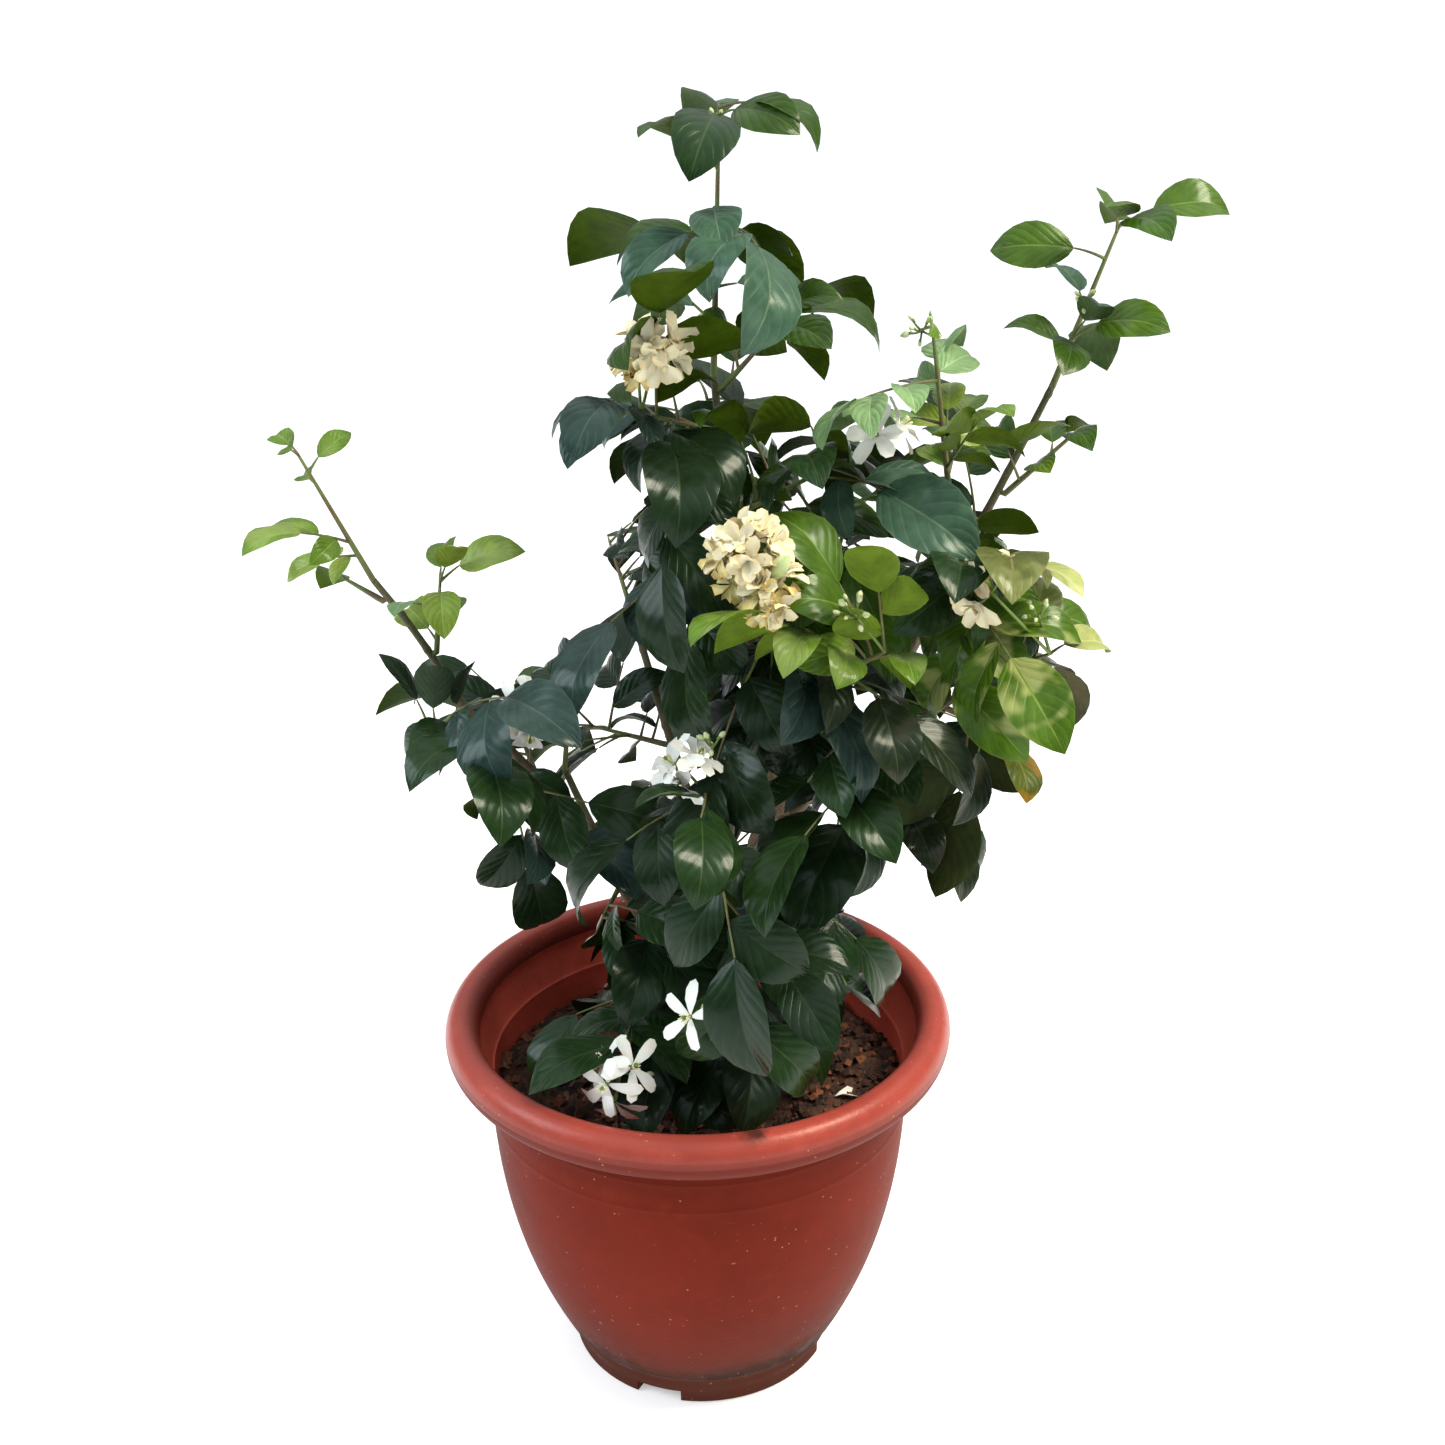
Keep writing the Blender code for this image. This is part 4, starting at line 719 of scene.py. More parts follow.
# Green on thin limbs, then brown, then grey with age, with dark streaks along the limb and pale specks.
def barkFinish():
    look = barkLook
    bark = Finish("branchBark", look["brown"], 0.75)
    age = bark.number("Fac", "ShaderNodeAttribute", attribute_name="age")
    patch = bark.noise(bark.place(), look["patchScale"], 4)
    streak = bark.noise(bark.place((9, 110, 1), "UV"), look["streakScale"], 5, 0.65)
    grain = bark.noise(bark.place(), look["grainScale"], 4, 0.6)
    worn = age + (patch - 0.5) * 0.9
    tone = bark.mix(worn.step(*look["youngTo"]), look["young"], look["brown"])
    tone = bark.mix(worn.step(*look["oldFrom"]), tone, look["old"])
    tone = bark.mix(streak.step(0.60, 0.40) * 0.55, tone, look["dark"])
    tone = bark.mix(grain.step(0.56, 0.72) * 0.35, tone, look["old"])
    return bark.wire(tone, bark.bump(streak + grain * 0.5, 0.0007, 0.9), age * 0.30 + 0.50)


bark = Heap()
for seed, name in enumerate(limbs):
    points, faces, uv, age = barkSurface(name, seed)
    bark.add(points, faces, 0, uv, age)
barkPiece = bark.put("bark", [barkFinish()])
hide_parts(*limbs)
print("bark: trunk and", len(limbs) - 1, "boughs")


# Leaves, dealt out by spray in plain tints. face, rib and underside: how much of the veins shows, roughness,
# gloss and coat.
leafLook = dict(along=(0.0, 0.07, 0.17, 0.30, 0.44, 0.58, 0.71, 0.83, 0.93, 1.0),
                width=(0.0, 0.38, 0.69, 0.91, 1.0, 0.98, 0.85, 0.61, 0.29, 0.0),
                across=(-1.0, -0.5, -0.032, 0.032, 0.5, 1.0), under=(-1.0, 0.0, 1.0), broader=1.12,
                thick=0.0005, swell=0.11, wave=0.06, curl=0.17, sharp=70, face=(1.0, 0.30, 0.15, 0.17),
                rib=(0.2, 0.38, 0.20, 0.05), underside=(0.6, 0.54, 0.06, 0.0), coatRoughness=0.14,
                sheen=(0.66, 0.92, 0.84, 1.0), deeper=0.80, paler=1.22, veins=6.5, veinSlant=1.6,
                veinDepth=0.0006, veinPale=0.16, quilt=0.24, crease=0.3, speck=0.12, margin=(0.470, 0.492),
                marginPale=0.35, lightAndAmberPatchScale=34.0)
# face, midrib and underside of each tint. The faces of blue and slate carry a painted bluish reflection of
# the sky, sunlit is painted sunlight, and deep is the dark green made darker still for leaves in shade:
# painted shade
tints = {
    "deep": ((0.008, 0.020, 0.007), (0.019, 0.034, 0.012), (0.020, 0.036, 0.007)),
    "dark": ((0.011, 0.030, 0.007), (0.030, 0.056, 0.015), (0.028, 0.052, 0.007)),
    "forest": ((0.022, 0.053, 0.003), (0.052, 0.094, 0.012), (0.038, 0.068, 0.002)),
    "slate": ((0.022, 0.045, 0.038), (0.046, 0.074, 0.056), (0.034, 0.056, 0.030)),
    "blue": ((0.042, 0.094, 0.058), (0.096, 0.160, 0.092), (0.054, 0.092, 0.030)),
    "mid": ((0.030, 0.074, 0.005), (0.070, 0.122, 0.016), (0.050, 0.088, 0.004)),
    "spring": ((0.048, 0.102, 0.008), (0.104, 0.172, 0.028), (0.072, 0.124, 0.006)),
    "glade": ((0.054, 0.118, 0.007), (0.140, 0.210, 0.036), (0.085, 0.130, 0.009)),
    "fresh": ((0.088, 0.168, 0.014), (0.180, 0.275, 0.050), (0.092, 0.148, 0.012)),
    "young": ((0.175, 0.265, 0.032), (0.290, 0.380, 0.095), (0.170, 0.240, 0.030)),
    "mint": ((0.160, 0.280, 0.115), (0.270, 0.390, 0.190), (0.170, 0.265, 0.110)),
    "sunlit": ((0.300, 0.345, 0.115), (0.420, 0.460, 0.190), (0.220, 0.260, 0.070)),
    "olive": ((0.080, 0.096, 0.020), (0.150, 0.160, 0.050), (0.100, 0.110, 0.030)),
    # a pale grey-brown leaf
    "dusty": ((0.120, 0.112, 0.066), (0.190, 0.175, 0.100), (0.120, 0.112, 0.062)),
    "bronze": ((0.012, 0.020, 0.008), (0.034, 0.044, 0.020), (0.020, 0.028, 0.008)),
    "amber": ((0.060, 0.080, 0.008), (0.150, 0.140, 0.030), (0.110, 0.085, 0.012)),
}
# patches painted on some tints: painted sunlight on most, painted sheen on bronze, and on amber the leaf's
# own amber patch; their colour, how much of it shows and where in the noise they begin
lightAndAmberPatches = {
    "glade": ((0.350, 0.390, 0.140), 0.70, 0.52),
    "fresh": ((0.280, 0.360, 0.110), 0.45, 0.54),
    "young": ((0.330, 0.420, 0.120), 0.40, 0.50),
    "sunlit": ((0.560, 0.590, 0.330), 0.55, 0.50),
    "olive": ((0.220, 0.240, 0.080), 0.50, 0.52),
    "dusty": ((0.330, 0.300, 0.210), 0.60, 0.48),
    "bronze": ((0.055, 0.052, 0.034), 0.50, 0.53),
    "amber": ((0.230, 0.120, 0.010), 0.80, 0.44),
}
# shaded, inner, cool and low deal the darkest tints to masses inside and low in the crown: painted shade;
# sunny deals painted sunlight
tintMix = {
    "shaded": ("deep", "dark", "deep", "dark", "dark"),
    "cool": ("slate", "dark", "slate", "deep"),
    "inner": ("dark", "dark", "mid", "deep"),
    "green": ("forest", "forest", "mid"),
    "open": ("forest", "mid", "blue", "forest"),
    "low": ("bronze", "dark", "bronze", "deep"),
    "whorl": ("spring", "fresh", "fresh"),
    "tip": ("spring", "mid", "spring", "spring", "blue"),
    "light": ("mid", "fresh", "fresh"),
    "bright": ("fresh", "fresh", "young"),
    "new": ("mint", "young", "mint", "fresh"),
    "shoot": ("fresh", "young", "fresh", "mint", "fresh"),
    "sunny": ("sunlit", "fresh", "mid", "sunlit"),
}


# The place on the leaf gives the veins: a sine of the way along it less a slant times the way out, paler on
# its crests, raised between them. The margin is paler too, and noise clouds the tint.
def leafFinish(name, colour, rib, side, lightAndAmberPatch=None):
    look = leafLook
    veined, roughness, gloss, coat = look[side]
    leaf = Finish(name, colour, roughness, Specular_IOR_Level=gloss, Specular_Tint=look["sheen"],
                  Coat_Weight=coat, Coat_Roughness=look["coatRoughness"])
    where = leaf.place()
    cloud, speck = leaf.noise(where, 85, 3), leaf.noise(where, 900, 2)
    deeper, paler = (tuple(c * look[key] for c in colour) for key in ("deeper", "paler"))
    tone = leaf.mix(cloud.step(0.30, 0.70), deeper, paler)
    # painted sunlight and sheen in patches of noise, on amber its own amber patch
    if lightAndAmberPatch is not None:
        light, share, start = lightAndAmberPatch
        patch = leaf.noise(where, look["lightAndAmberPatchScale"], 2)
        tone = leaf.mix(patch.step(start, start + 0.10) * share, tone, light)
    along, aside, _ = leaf.split(leaf.place(source="UV"))
    aside = (aside - 0.5).reckon("ABSOLUTE")
    slant = along - aside * (look["veinSlant"] / 2)
    swell = (slant * (circle * look["veins"])).reckon("SINE")
    inside = aside.step(0.0, 0.12) * veined
    crease = swell.step(0.60, 1.0) * inside
    tone = leaf.mix(crease * look["veinPale"], tone, rib)
    tone = leaf.mix(aside.step(*look["margin"]) * look["marginPale"], tone, rib)
    height = speck * look["speck"] - (swell * inside * look["quilt"] + crease * look["crease"])
    return leaf.wire(tone, leaf.bump(height, look["veinDepth"], 0.6), cloud * 0.16 + (roughness - 0.08))


leafFinishes = []
for tint, (face, rib, under) in tints.items():
    leafFinishes += [leafFinish(tint + "Leaf", face, rib, "face", lightAndAmberPatches.get(tint)),
                     leafFinish(tint + "Rib", rib, rib, "rib"),
                     leafFinish(tint + "Underside", under, rib, "underside")]


# The number of a spray's tint: the one that its mass lists it under, or one drawn from the mass's mix.
def tintOf(spray):
    mass = masses[spray.name]
    listed = [tint for tint, places in mass.tints.items() if spray.place in places]
    drawnTint = random.Random(spray.seed * 31 + spray.place).choice(tintMix[mass.mix])
    return list(tints).index(listed[0] if listed else drawnTint)


regions = {}
for spray in sprays:
    regions.setdefault(regionOf(spray.name), []).extend((leaf, tintOf(spray)) for leaf in spray.leaves)
ribStrip = len(leafLook["across"]) // 2 - 1
for number, (region, leaves) in enumerate(regions.items()):
    points, faces, strips, uv = leafSurface([leaf for leaf, tint in leaves], leafLook, number)
    tint = np.array([tint for leaf, tint in leaves])[:, None]
    slots = [(tint * 3 + np.where(strip < 0, 2, strip == ribStrip)).ravel() for strip in strips]
    piece = putMesh("leaves_" + region, points.reshape(-1, 3), faces, leafFinishes, slots,
                    uv.reshape(-1, 2), sharp=leafLook["sharp"])
    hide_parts(*[name for name in masses if regionOf(name) == region])
    print("leaves:", region, len(leaves))


# Twigs: each mass's own stem and the stalk of every compound leaf.
twigLook = dict(stem=(0.0019, 0.0009), stemPoints=9, stemSides=6, past=0.02, stalk=(0.0010, 0.0005),
                stalkSides=5, green=(0.120, 0.170, 0.040), brown=(0.130, 0.090, 0.040),
                dark=(0.060, 0.060, 0.020))


# Green and brown in patches, with dark streaks along the twig.
def twigFinish():
    look = twigLook
    twig = Finish("greenTwig", look["green"], 0.5)
    patch = twig.noise(twig.place(), 60, 4)
    grain = twig.noise(twig.place((6, 60, 1), "UV"), 8, 4)
    tone = twig.mix(patch.step(0.42, 0.62), look["green"], look["brown"])
    tone = twig.mix(grain.step(0.45, 0.70) * 0.4, tone, look["dark"])
    return twig.wire(tone, twig.bump(grain, 0.0003, 0.8))


# A stem starts inside its bough and ends just past the last compound leaf that it bears.
def stemPath(name):
    mass, stem = masses[name], stems[name]
    root = alongPath(paths[mass.bough], min(mass.share, growth["inside"]))[0]
    t = np.linspace(0, min(1.0, reach[name] + twigLook["past"]), twigLook["stemPoints"])[:, None]
    return np.vstack((root, stem[0] + (stem[-1] - stem[0]) * t))


twigs = Heap()
stemRadii = [twigLook["stem"][0], *np.linspace(*twigLook["stem"], twigLook["stemPoints"])]
points, faces, uv = tubeSurface([stemPath(name) for name in masses], stemRadii, twigLook["stemSides"])
twigs.add(points, faces, 0, uv)
stalks = np.array([spray.twig for spray in sprays])
stalkRadii = np.linspace(*twigLook["stalk"], stalks.shape[1])
points, faces, uv = tubeSurface(stalks, stalkRadii, twigLook["stalkSides"])
twigs.add(points, faces, 0, uv)
twigPiece = twigs.put("twigs", [twigFinish()])
print("twigs:", len(masses), "stems and", len(stalks), "stalks")


# Blossom and buds. wave: white, cream and aged petals, more and more crinkled. turned, longer and bent say
# how much the petals of a flower differ.
petalLook = dict(along=(0.0, 0.20, 0.45, 0.70, 0.90, 1.0), width=(0.0, 0.50, 0.86, 1.0, 0.76, 0.0),
                 across=(-1.0, -0.5, 0.0, 0.5, 1.0), under=(-1.0, 0.0, 1.0), broader=1.0, thick=0.0005,
                 swell=0.0, curl=0.0, wave=(0.20, 0.35, 0.80), sharp=80, turned=(-12, 12),
                 longer=(0.88, 1.08), bent=(0.7, 1.25))
bloomKinds = {
    "white": dict(finish=0, petals=6, length=0.0175, width=0.0088, open=(50, 82), droop=48, fold=12),
    "star": dict(finish=0, petals=5, length=0.0200, width=0.0072, open=(58, 84), droop=46, fold=6),
    "cream": dict(finish=1, petals=8, length=0.0150, width=0.0078, open=(10, 78), droop=34, fold=22),
    "aged": dict(finish=2, petals=8, length=0.0125, width=0.0062, open=(35, 118), droop=70, fold=36),
}
# each finish's colour, its colour towards tip and edges, and the share of that
petalColours = {
    "whitePetal": ((0.95, 0.95, 0.92), (0.90, 0.91, 0.78), 0.5),
    "creamPetal": ((0.88, 0.83, 0.65), (0.82, 0.68, 0.32), 0.6),
    "agedPetal": ((0.76, 0.67, 0.34), (0.68, 0.47, 0.13), 0.8),
    "paleStamen": ((0.80, 0.82, 0.60), (0.70, 0.72, 0.36), 0.4),
    "greenCalyx": ((0.17, 0.25, 0.06), (0.12, 0.18, 0.04), 0.5),
    "greenBud": ((0.42, 0.52, 0.22), (0.62, 0.66, 0.44), 0.6),
}
# each part of a flower's heart is a tube: where it starts and ends along the flower's axis, and its radii
heartLook = dict(stamens=8, stamen=(0.0, 0.0075), splay=(0.0018, 0.0032), sides=5,
                 stamenRadii=(0.00025, 0.00022, 0.00022, 0.00065, 0.0003),
                 pistil=(0.0, 0.0080), pistilRadii=(0.00055, 0.0005, 0.0005, 0.0010, 0.0007),
                 calyx=(-0.0050, 0.0008), calyxRadii=(0.0008, 0.0013, 0.0011, 0.0012, 0.0014),
                 cup=(-0.0015, 0.0012), cupRadii=(0.0006, 0.0008, 0.0009, 0.0009, 0.0007),
                 bud=(0.0030, 0.0052), budShape=(0.14, 0.30, 0.36, 0.28, 0.08),
                 stemRadii=(0.0010, 0.0009, 0.0009, 0.0008, 0.0008),
                 stalkRadii=(0.0007, 0.0006, 0.0006, 0.0006, 0.0007), stalkBow=0.0006)
# how a cluster is laid out: cap is how far down from the pole of a sphere of radius 1 its flowers go, golden
# and wobble turn each on from the one before, and facing and outward turn them to the light
clusterLook = dict(cap=1.25, golden=2.4, wobble=(-0.3, 0.3), far=(0.8, 1.15), facing=(0.0, -0.8, 0.5),
                   outward=0.4, sunk=0.003)
# mass, middle of the cluster, its flowers and buds, kind, and how far they stand apart
blooms = [
    ("upper_left_leaves", (-0.015, -0.048, 0.624), 5, 0, "cream", 0.008),
    ("upper_left_leaves", (-0.024, -0.048, 0.618), 4, 1, "aged", 0.007),
    ("middle_front_leaves", (0.029, -0.083, 0.5325), 8, 0, "cream", 0.0098),
    ("middle_front_leaves", (0.021, -0.083, 0.5250), 4, 0, "aged", 0.009),
    ("middle_front_leaves", (0.040, -0.090, 0.5165), 3, 0, "cream", 0.007),
    ("middle_front_leaves", (0.038, -0.090, 0.5095), 6, 0, "aged", 0.0085),
    ("middle_right_leaves", (0.100, -0.028, 0.5755), 2, 0, "white", 0.008),
    ("right_middle_leaves", (0.149, -0.075, 0.508), 3, 1, "cream", 0.009),
    ("front_middle_leaves", (-0.004, -0.085, 0.417), 3, 0, "white", 0.007),
    ("left_rising_leaves", (-0.086, -0.045, 0.435), 3, 0, "white", 0.009),
    ("foot_left_leaves", (-0.0425, -0.098, 0.2440), 4, 1, "star", 0.013),
    ("foot_front_leaves", (-0.001, -0.115, 0.2905), 1, 1, "star", 0.004),
    ("crown_tip_leaves", (0.016, -0.001, 0.727), 0, 5, "white", 0.004),
    ("shoot_tip_leaves", (0.118, -0.020, 0.628), 0, 6, "white", 0.007),
    ("front_top_leaves", (0.080, -0.090, 0.502), 0, 9, "white", 0.007),
    ("right_middle_leaves", (0.178, -0.058, 0.489), 0, 7, "white", 0.006),
    ("right_tip_leaves", (0.210, 0.028, 0.634), 0, 4, "white", 0.004),
    ("front_middle_leaves", (0.010, -0.083, 0.431), 0, 4, "white", 0.005),
]
# petals that fell on the soil: place, turn and kind
fallen = [((0.080, -0.030), 20, "white"), ((0.030, 0.071), 100, "white"), ((0.013, 0.013), 250, "white"),
          ((-0.050, 0.098), 160, "white"), ((0.026, -0.066), 60, "aged")]
fallenLook = dict(above=0.0022, rise=0.25, length=0.0210, width=0.0105, droop=70, fold=24)
# a closed bud beside the cream cluster and one on the soil: both ends and the radii
loneBuds = [((0.0390, -0.0930, 0.5215), (0.0475, -0.0985, 0.5345), (0.0012, 0.0036, 0.0050, 0.0042, 0.0008)),
            ((0.055, -0.037, 0.1865), (0.063, -0.033, 0.1868), (0.0007, 0.0017, 0.0021, 0.0015, 0.0005))]


# Crossed waves, flat round the trunk's foot as in the source.
def soilHeight(x, y):
    lump = np.sin(61 * x + 1.3) * np.cos(53 * y) + 0.6 * np.sin(97 * y + 71 * x + 0.7)
    apart = np.hypot(x - growth["foot"][0], y - growth["foot"][1])
    return growth["soil"] + growth["lump"] * (lump - 0.3) * np.clip(apart / growth["level"] - 1, 0, 1)


# Petals yellow towards their tip and edges by the share given.
def petalFinish(name, colour, edge, share):
    petal = Finish(name, colour, 0.5, Specular_IOR_Level=0.35, Subsurface_Weight=0.12, Subsurface_Scale=0.002)
    cloud = petal.noise(petal.place(), 240, 4)
    along, aside, _ = petal.split(petal.place(source="UV"))
    outer = along * 0.55 + ((aside - 0.5).reckon("ABSOLUTE") * 0.9 + cloud * 0.5)
    tone = petal.mix(outer.step(0.60, 1.05) * share, colour, edge)
    line = petal.noise(petal.place((2, 30, 1), "UV"), 3, 2)
    return petal.wire(tone, petal.bump(line, 0.0003, 0.5))


bloomFinishes = [petalFinish(name, *colours) for name, colours in petalColours.items()]
petalSets, tubeSets = ([], [], []), ([], [], [])        # tubes: stamens, calyx and stalks, buds


# A straight tube, bowed down as a half sine.
def tubeOf(kind, start, end, radii, bow=0.0):
    start, end, t = np.array(start), np.array(end), np.linspace(0, 1, len(radii))[:, None]
    tubeSets[kind].append((start + (end - start) * t - upward * (bow * np.sin(math.pi * t)), radii))


# Petals stand evenly round the axis, opened from it by an angle; an open flower shows stamens and a pistil.
def flowerAt(centre, axis, kind, rng):
    look, heart = dict(petalLook, **bloomKinds[kind]), heartLook
    side, top = across(axis)
    spin = rng.uniform(0, 360)
    for k in range(look["petals"]):
        turn = spin + 360 / look["petals"] * k + rng.uniform(*look["turned"])
        radial = around(side, top, math.radians(turn))
        opened = math.radians(rng.uniform(*look["open"]))
        facing = axis * math.sin(opened) - radial * math.cos(opened)
        petalSets[look["finish"]].append(Leaf(
            centre, around(axis, radial, opened), facing, look["length"] * rng.uniform(*look["longer"]),
            look["width"], look["droop"] * rng.uniform(*look["bent"]), look["fold"]))
    if kind in ("cream", "aged"):
        return
    for k in range(heart["stamens"]):
        out = around(side, top, circle * (k + 0.5) / heart["stamens"])
        tubeOf(0, centre, centre + axis * heart["stamen"][1] + out * rng.uniform(*heart["splay"]),
               heart["stamenRadii"])
    for key in ("pistil", "calyx"):
        tubeOf(1, *(centre + axis * far for far in heart[key]), heart[key + "Radii"])


# A closed bud is as thick as its length says and sits in a cup.
def budAt(centre, axis, rng):
    long = rng.uniform(*heartLook["bud"])
    tubeOf(2, centre, centre + axis * long, tuple(long * share for share in heartLook["budShape"]))
    tubeOf(1, *(centre + axis * far for far in heartLook["cup"]), heartLook["cupRadii"])


# A cluster grows from the nearest place on its mass's stem. Its flowers are spread over a cap of a sphere,
# each the golden angle past the one before, and face the light.
look = clusterLook
for number, (name, centre, flowers, buds, kind, spread) in enumerate(blooms):
    rng = random.Random(number + 3)
    centre = np.array(centre)
    near = [alongPath(stems[name], share)[0] for share in np.linspace(0.05, reach[name], 20)]
    root = min(near, key=lambda p: np.linalg.norm(p - centre))
    tubeOf(1, root, centre, heartLook["stemRadii"])
    facing = unit(unit(centre - root) + np.array(look["facing"]))
    side, top = across(facing)
    for k in range(flowers + buds):
        polar = math.acos(1 - look["cap"] * (k + 0.5) / (flowers + buds))
        out = around(side, top, look["golden"] * k + rng.uniform(*look["wobble"]))
        way = around(facing, out, polar)
        end = centre + way * spread * rng.uniform(*look["far"])
        tubeOf(1, centre - facing * look["sunk"], end, heartLook["stalkRadii"], heartLook["stalkBow"])
        if k < flowers:
            flowerAt(end, unit(way + facing * look["outward"]), kind, rng)
        else:
            budAt(end, way, rng)
look = fallenLook
for (x, y), turn, kind in fallen:
    a = math.radians(turn)
    base, along = (x, y, soilHeight(x, y) + look["above"]), (math.cos(a), math.sin(a), look["rise"])
    petalSets[bloomKinds[kind]["finish"]].append(Leaf(
        base, along, upward, look["length"], look["width"], look["droop"], look["fold"]))
for start, end, radii in loneBuds:
    tubeOf(2, start, end, radii)

petals, hearts = Heap(), Heap()
for finish, leaves in enumerate(petalSets):
    look = dict(petalLook, wave=petalLook["wave"][finish])
    points, faces, strips, uv = leafSurface(leaves, look, 70 + finish)
    petals.add(points, faces, finish, uv)
for finish, tubes in enumerate(tubeSets):
    points, faces, uv = tubeSurface(*zip(*tubes), heartLook["sides"])
    hearts.add(points, faces, finish, uv)
petals.put("petals", bloomFinishes[:3], sharp=petalLook["sharp"])
hearts.put("flowerHearts", bloomFinishes[3:])
print("blossom:", sum(bloom[2] for bloom in blooms), "flowers")


# Pot. Pairs are a radius and a height; shade says between which heights painted shade darkens the clay, by
# what share, and what is left of its colour. low, lineUp and lineDown are heights between which dirt comes or
# goes; the pair after them, those over which the clay grows darker towards the bottom.
potLook = dict(floorLine=((0.0, 0.010), (0.040, 0.010), (0.0745, 0.010), (0.0795, 0.0115)), wall=0.003,
               inner=(0.016, 0.030, 0.060, 0.100, 0.140, 0.165, 0.176, 0.184, 0.190, 0.1955, 0.197),
               ledge=((0.1234, 0.1974), (0.1240, 0.1982), (0.1252, 0.2010), (0.1275, 0.2065),
                      (0.1292, 0.2110)),
               roll=(0.140, 0.2195), rollSize=(0.010, 0.0125), rollTurn=(200, -67, -9),
               underRim=((0.1436, 0.2079), (0.1428, 0.2082), (0.1420, 0.2092), (0.1395, 0.2118),
                         (0.1360, 0.2126), (0.1325, 0.2112), (0.1305, 0.2075), (0.1275, 0.2020),
                         (0.1262, 0.1992)),
               bodyTop=(0.1254, 0.197), bodyFoot=(0.0838, 0.013), bulge=2.4, outer=(0.196, 0.023, 64),
               rings=(0.190, 0.172), ringDepth=0.00022, ringWidth=0.0012,
               footLine=((0.0842, 0.0195), (0.0838, 0.0150), (0.0834, 0.0130), (0.0820, 0.0085),
                         (0.0817, 0.0080), (0.0816, 0.0030), (0.0813, 0.0008), (0.0805, 0.0), (0.0694, 0.0),
                         (0.0693, 0.0), (0.045, 0.0), (0.0, 0.0)),
               foot=0.0813, notches=4, firstNotch=250.0, notchWidth=0.028, notchHeight=0.008,
               notchFrom=0.06935, sides=144, sharp=50, rimFrom=(0.1280, 0.2073), lip=(0.2205, 0.2165),
               innerFrom=0.170, innerTo=0.2200, deeper=0.74, paler=1.25, tint=(1.0, 0.72, 0.68, 1.0),
               # the rim's and the inner wall's clay are lighter than the body's: painted light
               clay=(0.158, 0.0170, 0.0075), litRimClay=(0.385, 0.062, 0.043), litInnerClay=(0.740, 0.120, 0.076),
               dust=(0.115, 0.046, 0.028), grime=(0.030, 0.014, 0.010), speck=(0.480, 0.280, 0.220),
               speckScale=190.0, low=(0.075, 0.010), lineUp=(0.0225, 0.0245), lineDown=(0.0460, 0.0260),
               darkerDown=(0.095, 0.015), rimSpot=(0.0298, -0.1377, 0.2318), rimSpotSize=0.0175,
               bodyShade=(0.176, 0.200, 0.75, 0.74),
               rimShade=(0.2290, 0.2140, 0.90, 0.30), noShade=(0.200, 0.190, 0.0, 1.0))


# The body widens from foot to ledge as 1 - (1 - share) to the power of bulge, with two faint raised rings.
def bodyRadius(z):
    look = potLook
    (top, high), (foot, low) = look["bodyTop"], look["bodyFoot"]
    share = np.clip((z - low) / (high - low), 0, 1)
    radius = foot + (top - foot) * (1 - (1 - share) ** look["bulge"])
    for ring in look["rings"]:
        radius = radius + look["ringDepth"] * np.exp(-((z - ring) / look["ringWidth"]) ** 2)
    return radius


# The section runs up the inside, over the ledge and the rolled rim, round its lower lip and down the outside.
def potSection():
    look = potLook
    inner = np.array(look["inner"])
    a = np.radians(np.arange(*look["rollTurn"]))
    roll = np.array(look["roll"]) + np.array(look["rollSize"]) * np.stack((np.cos(a), np.sin(a)), -1)
    rings = [ring + step * look["ringWidth"] for ring in look["rings"] for step in (-1, -0.5, 0, 0.5, 1)]
    outer = np.unique(np.concatenate((np.linspace(*look["outer"]), rings)))[::-1]
    return np.array([*look["floorLine"], *zip(bodyRadius(inner) - look["wall"], inner), *look["ledge"],
                     *roll, *look["underRim"], *zip(bodyRadius(outer), outer), *look["footLine"]])


# A surface of revolution: the section turned through every angle, lifted where a notch crosses the foot.
def potSurface():
    look, section = potLook, potSection()
    half = math.asin(look["notchWidth"] / 2 / look["foot"])
    middles = np.radians(look["firstNotch"]) + circle * np.arange(look["notches"]) / look["notches"]
    marks = [middles + s * half + t for s in (-1, 1) for t in (-0.0008, 0.0008)]
    turn = np.sort(np.concatenate((np.arange(look["sides"]) * circle / look["sides"], *marks)) % circle)
    apart = np.abs((turn[:, None] - middles + math.pi) % circle - math.pi).min(axis=1)
    radius, height = section[1:-1].T
    count, rows = len(turn), len(radius)
    r, z = np.tile(radius, (count, 1)), np.tile(height, (count, 1))
    z[(apart < half)[:, None] & (r > look["notchFrom"]) & (z < look["notchHeight"])] = look["notchHeight"]
    grid = np.stack((r * np.cos(turn)[:, None], r * np.sin(turn)[:, None], z), -1)
    points = np.concatenate(([(0, 0, section[0, 1])], grid.reshape(-1, 3), [(0, 0, section[-1, 1])]))
    k, j = np.arange(count)[:, None], np.arange(rows - 1)[None]
    here, there = 1 + k * rows + j, 1 + (k + 1) % count * rows + j
    quads = facesOf(here, there, there + 1, here + 1)
    k, after = k.ravel() * rows, (k.ravel() + 1) % count * rows
    floor, base = facesOf(1 + k, 1 + after, 0), facesOf(rows + after, rows + k, len(points) - 1)
    # the finish of each ring of faces: 0 body, 1 rolled rim, 2 and 3 its lower lip, 4 the wall inside
    inside = np.arange(rows) < section[:, 1].argmax()
    rolled = (radius > look["rimFrom"][0]) & (height > look["rimFrom"][1])
    rolled &= ~(inside & (height < look["innerTo"]))
    lip = ~inside & (height < look["lip"][0])
    inner = inside & (height > look["innerFrom"]) & (height < look["innerTo"])
    worn = np.where(rolled, 1 + lip * (1 + (height < look["lip"][1])), 4 * inner)
    return points, [quads, floor, base], [np.tile(worn[1:], count), 0 * k, 0 * k]
